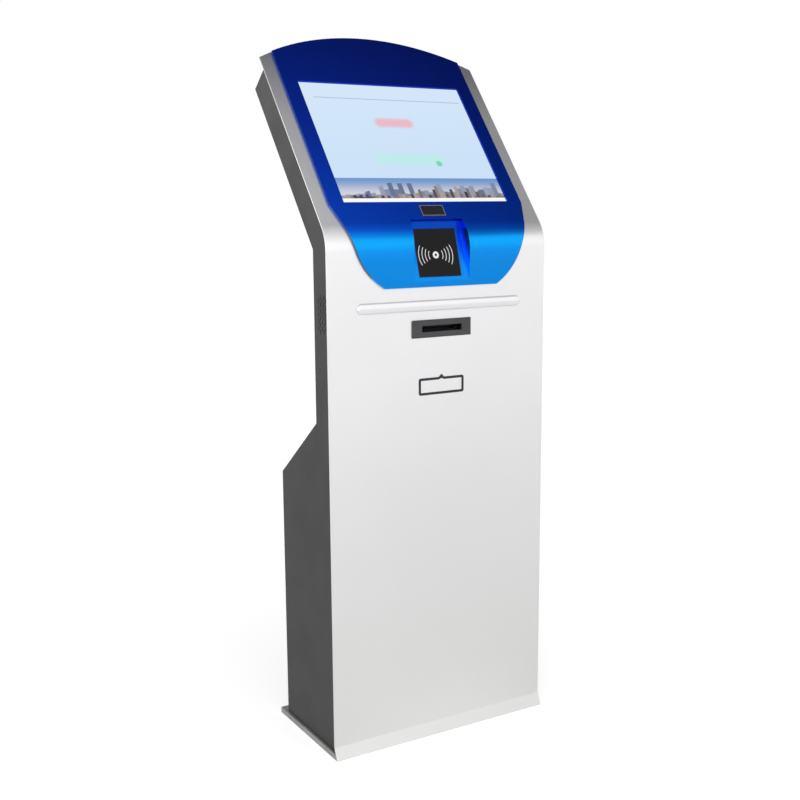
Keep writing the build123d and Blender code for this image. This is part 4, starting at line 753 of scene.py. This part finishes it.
nylon = finish("gear_nylon", shade(228, 226, 216), 0.45, mottle=0.04, patch=0.01, grain=0.0004, relief=0.1,
               Subsurface_Weight=0.08)
brass = finish("pinion_brass", shade(196, 160, 88), 0.3, metallic=1.0, mottle=0.08, patch=0.01,
               grain=0.0004, relief=0.1)
rubber = finish("platen_rubber", shade(24, 25, 27), 0.7, mottle=0.1, patch=0.01, grain=0.0004, relief=0.3)
ceramic = finish("head_ceramic", shade(214, 208, 190), 0.3, mottle=0.04, patch=0.01, grain=0.0004,
                 relief=0.08)
lever_green = finish("lever_green_plastic", shade(42, 150, 84), 0.42, mottle=0.05, patch=0.02, grain=0.0005,
                     relief=0.2)
tool_steel = finish("blade_blackened_steel", shade(30, 31, 34), 0.4, metallic=0.8, mottle=0.1, patch=0.01,
                    grain=0.0004, relief=0.1)
# Painted shade: the chassis zinc near-black round the slot's mouth.
shaded_mouth_zinc = zinc.copy()
shaded_mouth_zinc.name = "zinc_painted_shade_mouth"
mouth_shade_tones = ((0.0, 0.03), (0.03, 0.03), (0.05, 1.0))
paint_light_along(shaded_mouth_zinc, backwards, [(bezel_front + back, (tone,) * 3) for back, tone in mouth_shade_tones])
eased("printer_chassis", "printer_frame", 0.0004, shaded_mouth_zinc)
eased("platen_shaft", "platen_steel_shaft", 0.0004, bright, body="platen")
eased("platen_roller", "platen_rubber_roller", 0.0006, rubber, body="platen")
keep("platen_gear", nylon)
keep("idler_gear", nylon)
keep("motor_pinion", brass)
eased("idler_pin", "idler_shouldered_pin", 0.0003, bright)
eased("feed_motor", "feed_stepper_motor", 0.0008, display_steel)
eased("print_head", "thermal_head", 0.0004, ceramic, body="head")
eased("head_lever", "head_release_lever", 0.0006, lever_green, body="head")
# The paper chute is black plastic, darkened further as painted shade seen through the slot.
chute_black_and_shade = finish("chute_black_plastic_and_shade", shade(14, 14, 15), 0.6, mottle=0.08, patch=0.02, grain=0.0006,
                     relief=0.3)
eased("paper_guide", "paper_chute", 0.0004, chute_black_and_shade)
eased("fixed_blade", "upper_blade", 0.0002, tool_steel)
eased("moving_blade", "lower_blade", 0.0002, tool_steel, body="cutter")
eased("blade_rails", "blade_guide_rails", 0.0003, tool_steel)
eased("cutter_drive", "cutter_motor_box", 0.0008, module_plastic)

# ---- paper roll ----------------------------------------------------------------
# A roll of thermal paper on a card core, on a steel spindle dropped into an open zinc holder.
# The roll's ends show the edges of its many turns.


def wound_paper(axis_y, axis_z, turn_thickness):
    """Paper whose ends are ringed by the edges of its turns, about the spindle's axis."""
    material, shader, link = blank("thermal_paper")
    place = wire(material, "ShaderNodeTexCoord").outputs["Object"]
    flat = wire(material, "ShaderNodeSeparateXYZ", Vector=place)
    out_y = sums(material, "SUBTRACT", flat.outputs[1], axis_y)
    out_z = sums(material, "SUBTRACT", flat.outputs[2], axis_z)
    far = away(material, out_y, out_z)
    turns = sums(material, "SINE", sums(material, "MULTIPLY", far, math.tau / turn_thickness))
    rings = spread(material, turns, -1.0, 1.0, 0.0, 1.0)
    link(tint(material, rings, shade(226, 225, 220), shade(246, 245, 241)), shader.inputs["Base Color"])
    relief = wire(material, "ShaderNodeBump", Height=rings, Strength=0.25, Distance=0.0001)
    link(relief.outputs[0], shader.inputs["Normal"])
    link(spread(material, cloud(material, 0.01), 0.3, 0.7, 0.55, 0.7), shader.inputs["Roughness"])
    return material


spindle_place = joint_of("roll_spin")["pos_m"]
paper = wound_paper(spindle_place[1], spindle_place[2], turn_thickness=0.0007)
card = finish("core_card", shade(172, 142, 104), 0.8, mottle=0.12, patch=0.006, grain=0.0005, relief=0.4,
              stretch=(0.3, 1, 1))
eased("paper_roll", "ticket_paper_roll", 0.0003, paper, body="roll")
eased("roll_core", "card_core", 0.0003, card, body="roll")
eased("roll_holder", "roll_cradle", 0.0004, zinc)
eased("roll_spindle", "roll_steel_spindle", 0.0004, bright)

# ---- fan -----------------------------------------------------------------------
# An 80 mm axial fan in black glass-filled plastic, screwed to the head cover behind its slots.

eased("fan_frame", "fan_moulded_frame", 0.0005, module_plastic)
eased("fan_rotor", "fan_impeller", 0.0004, module_plastic, body="fan")

# ---- loudspeakers --------------------------------------------------------------
# One small loudspeaker behind the slots of each side, in a black plastic chassis.

eased("speakers", "speaker_pair", 0.0006, module_plastic)

# ---- shelf, computer and power supply ------------------------------------------
# A zinc-plated shelf on two rails carries a finned aluminium computer and a perforated supply.

fin_metal = finish("computer_anodised", shade(58, 60, 64), 0.4, metallic=0.7, mottle=0.05, patch=0.05,
                   grain=0.0005, relief=0.15)
supply_metal = finish("supply_aluminium", shade(186, 188, 190), 0.36, metallic=0.9, mottle=0.06, patch=0.04,
                      grain=0.0005, relief=0.12, stretch=(0.15, 1, 1))
eased("shelf_rails", "shelf_side_rails", 0.0004, zinc)
eased("shelf", "slotted_shelf", 0.0004, zinc)
eased("computer", "finned_computer", 0.0008, fin_metal)
eased("power_supply", "supply_unit", 0.0006, supply_metal)

# ---- mains inlet, switch and cable grommet -------------------------------------
# An appliance inlet and a red rocker switch snapped into the rear frame, and a rubber grommet
# in the floor plate for a cable from below.

rocker_red = finish("rocker_red_plastic", shade(190, 34, 30), 0.3, mottle=0.04, patch=0.01, grain=0.0004,
                    relief=0.08, Coat_Weight=0.3)
eased("power_inlet", "mains_inlet", 0.0005, module_plastic)
eased("switch_housing", "switch_body", 0.0005, module_plastic)
eased("switch_rocker", "switch_paddle", 0.0005, rocker_red, body="switch")
eased("cable_grommet", "floor_grommet", 0.0008, foam)

# ---- screws --------------------------------------------------------------------
# Pan-head machine screws with cross recesses, zinc-plated, that hold the covers and the rear
# frame to the sides, and the fan to the head cover.

screw_head_radius = 0.0038
screw_head_height = 0.0022
screw_shank_radius = 0.0020
screw_shank_length = 0.0060
recess_width = 0.0011
recess_length = 0.0044


def screw_tree():
    """A domed head with a cross recess over a shank, on every point, turned to face outwards."""
    tree, given, out = tree_of("pan_head_screws", [
        ("Head Radius", "NodeSocketFloat", screw_head_radius),
        ("Head Height", "NodeSocketFloat", screw_head_height),
        ("Recess Width", "NodeSocketFloat", recess_width),
        ("Recess Length", "NodeSocketFloat", recess_length),
        ("Shank Radius", "NodeSocketFloat", screw_shank_radius),
        ("Shank Length", "NodeSocketFloat", screw_shank_length),
        ("Finish", "NodeSocketMaterial", None),
    ])
    radius, height = given.outputs["Head Radius"], given.outputs["Head Height"]
    ball = part(tree, "GeometryNodeMeshUVSphere", Segments=28, Rings=14, Radius=1.0)
    size = part(tree, "ShaderNodeCombineXYZ", X=radius, Y=radius, Z=height)
    dome = part(tree, "GeometryNodeTransform", Geometry=ball.outputs["Mesh"], Scale=size.outputs[0])
    block = part(tree, "GeometryNodeMeshCube", Size=(0.02, 0.02, 0.02))
    below = part(tree, "GeometryNodeTransform", Geometry=block.outputs["Mesh"], Translation=(0, 0, -0.01))
    lift = part(tree, "ShaderNodeCombineXYZ", X=0.0, Y=0.0, Z=height)
    cutters = [below]
    for x_size, y_size in (("Recess Length", "Recess Width"), ("Recess Width", "Recess Length")):
        slot_size = part(tree, "ShaderNodeCombineXYZ", X=given.outputs[x_size], Y=given.outputs[y_size],
                         Z=height)
        slot = part(tree, "GeometryNodeMeshCube", Size=slot_size.outputs[0])
        cutters.append(part(tree, "GeometryNodeTransform", Geometry=slot.outputs["Mesh"],
                            Translation=lift.outputs[0]))
    head = part(tree, "GeometryNodeMeshBoolean", {"operation": "DIFFERENCE"}, no0=dome.outputs[0])
    for cutter in cutters:
        tree.links.new(cutter.outputs[0], head.inputs[1])
    shank = part(tree, "GeometryNodeMeshCylinder", Vertices=20, Radius=given.outputs["Shank Radius"],
                 Depth=given.outputs["Shank Length"])
    half = part(tree, "ShaderNodeMath", {"operation": "MULTIPLY"}, no0=given.outputs["Shank Length"],
                no1=-0.5)
    drop = part(tree, "ShaderNodeCombineXYZ", X=0.0, Y=0.0, Z=half.outputs[0])
    sunk = part(tree, "GeometryNodeTransform", Geometry=shank.outputs["Mesh"], Translation=drop.outputs[0])
    whole = part(tree, "GeometryNodeJoinGeometry")
    tree.links.new(head.outputs["Mesh"], whole.inputs[0])
    tree.links.new(sunk.outputs[0], whole.inputs[0])
    facing = part(tree, "GeometryNodeInputNamedAttribute", {"data_type": "FLOAT_VECTOR"}, Name="facing")
    turned = part(tree, "FunctionNodeAlignRotationToVector", {"axis": "Z"}, Vector=facing.outputs[0])
    copies = part(tree, "GeometryNodeInstanceOnPoints", Points=given.outputs["Geometry"],
                  Instance=whole.outputs[0], Rotation=turned.outputs[0])
    real = part(tree, "GeometryNodeRealizeInstances", Geometry=copies.outputs[0])
    plated = part(tree, "GeometryNodeSetMaterial", Geometry=real.outputs[0], Material=given.outputs["Finish"])
    tree.links.new(plated.outputs[0], out.inputs["Geometry"])
    return tree


def screw_seats(node, directions):
    """Where each screw of a CAD node sits and which way it faces, from its solids."""
    shape = bmesh.new()
    shape.from_mesh(frame["nodes"][node].data)
    bmesh.ops.remove_doubles(shape, verts=shape.verts, dist=weld_reach)
    left = set(shape.verts)
    seats = []
    full_length = screw_head_height + screw_shank_length
    while left:
        island = {left.pop()}
        edge = list(island)
        while edge:
            for joined in (e.other_vert(v) for v in [edge.pop()] for e in v.link_edges):
                if joined not in island:
                    island.add(joined)
                    edge.append(joined)
        left -= island
        points = [v.co.copy() for v in island]

        def length(direction):
            along = [point.dot(direction) for point in points]
            return max(along) - min(along)

        facing = min(directions, key=lambda direction: abs(length(direction) - full_length))
        tip = min(point.dot(facing) for point in points)
        middle = sum(points, Vector()) / len(points)
        seats.append((middle + facing * (tip + screw_shank_length - middle.dot(facing)), facing))
    shape.free()
    return seats


head_back_out = -glass_out
rear_out = Vector((0, 1, 0))
screws = screw_tree()
for node, name in (("cover_screws", "cover_screw_set"), ("fan_screws", "fan_screw_set")):
    seats = screw_seats(node, (head_back_out, rear_out))
    piece = grown(screws, name, [seat for seat, _ in seats], zinc, [facing for _, facing in seats])
    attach(piece, "cabinet")
    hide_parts(node)

# ---- floor and light of the studio ---------------------------------------------
# A plain pale floor that runs to a white horizon, a bright wall of light all round, a darker
# ceiling that the leaning head mirrors, and one soft lamp to the left of the front.

reach = 14.0
floor_corners = [(-reach, -reach, 0), (reach, -reach, 0), (reach, reach, 0), (-reach, reach, 0)]
floor_mesh = bpy.data.meshes.new("studio_floor")
floor_mesh.from_pydata(floor_corners, [], [(0, 1, 2, 3)])
floor = bpy.data.objects.new("studio_floor", floor_mesh)
bpy.context.scene.collection.objects.link(floor)
floor_paint = finish("studio_floor_white", (0.92, 0.92, 0.92, 1.0), 0.75, mottle=0.004, patch=1.0, grain=0.01,
                     relief=0.01, Emission_Color=(1, 1, 1, 1))
glow_in_mirrors, glow_seen = 0.30, 0.62
direct = wire(floor_paint, "ShaderNodeLightPath").outputs["Is Camera Ray"]
glow = spread(floor_paint, direct, 0.0, 1.0, glow_in_mirrors, glow_seen)
floor_shader = floor_paint.node_tree.nodes["Principled BSDF"]
floor_paint.node_tree.links.new(glow, floor_shader.inputs["Emission Strength"])
floor_mesh.materials.append(floor_paint)

world = bpy.data.worlds.new("studio")
bpy.context.scene.world = world
world.use_nodes = True
background = world.node_tree.nodes["Background"]
direction = wire(world, "ShaderNodeTexCoord").outputs["Generated"]
to_right, to_back, to_sky = wire(world, "ShaderNodeSeparateXYZ", Vector=direction).outputs[:3]

# The ceiling's light from front to back, dark past its middle and to the right.
ceiling_stops = ((0.0, 1.05), (0.19, 1.05), (0.24, 0.70), (0.38, 0.60), (0.46, 0.16), (0.54, 0.03))
ceiling = wire(world, "ShaderNodeMapRange", Value=to_back, From_Min=-1.0, From_Max=1.0)
ramp = wire(world, "ShaderNodeValToRGB", Fac=ceiling.outputs["Result"])
while len(ramp.color_ramp.elements) < len(ceiling_stops):
    ramp.color_ramp.elements.new(0.5)
for element, (place, value) in zip(ramp.color_ramp.elements, ceiling_stops):
    element.position = place
    element.color = (value, value, value * 1.01, 1.0)
rightward = spread(world, to_right, 0.40, 0.60, 1.0, 0.22)
ceiling_light = tint(world, rightward, (0.02, 0.02, 0.02, 1.0), ramp.outputs["Color"])

# The walls are brighter to the left and reach up to the ceiling's edge; a direct look is white.
raised = spread(world, to_sky, 0.32, 0.52, 0.0, 1.0)
leftward = spread(world, to_right, 0.30, 0.52, 1.35, 1.0)
wall_light = wire(world, "ShaderNodeCombineColor", Red=leftward, Green=leftward, Blue=leftward).outputs[0]
surround = tint(world, raised, wall_light, ceiling_light)
straight = wire(world, "ShaderNodeLightPath").outputs["Is Camera Ray"]
seen = tint(world, straight, surround, (1.0, 1.0, 1.0, 1.0))
world.node_tree.links.new(seen, background.inputs["Color"])
background.inputs["Strength"].default_value = 1.0


def softbox(name, place, aim, size, watts):
    """A square lamp at a place, turned to a point."""
    lamp = bpy.data.lights.new(name, "AREA")
    lamp.size = size
    lamp.energy = watts
    holder = bpy.data.objects.new(name, lamp)
    holder.matrix_world = Matrix.Translation(place) @ (Vector(aim) - Vector(place)).to_track_quat(
        "-Z", "Y").to_matrix().to_4x4()
    bpy.context.scene.collection.objects.link(holder)


softbox("front_left_lamp", place=(-2.6, -3.0, 1.7), aim=(0, 0, 0.8), size=1.8, watts=26.0)

# ---- camera --------------------------------------------------------------------
# A long normal lens at chest height, to the left of the front, looking slightly down.

lens_mm = 51.2973
sensor_mm = 36
eye = Vector((-1.2012, -1.98656, 1.08503))
turn_left, tip_down, roll = 0.533155, -0.171933, -0.006879
camera = bpy.data.objects.new("camera", bpy.data.cameras.new("camera"))
camera.data.lens = lens_mm
camera.data.sensor_width = sensor_mm
camera.matrix_world = (Matrix.Translation(eye)
                       @ Euler((math.pi / 2 + tip_down, 0, -turn_left)).to_matrix().to_4x4()
                       @ Matrix.Rotation(roll, 4, "Z"))
bpy.context.scene.collection.objects.link(camera)
bpy.context.scene.camera = camera
bpy.context.scene.view_settings.view_transform = "Standard"
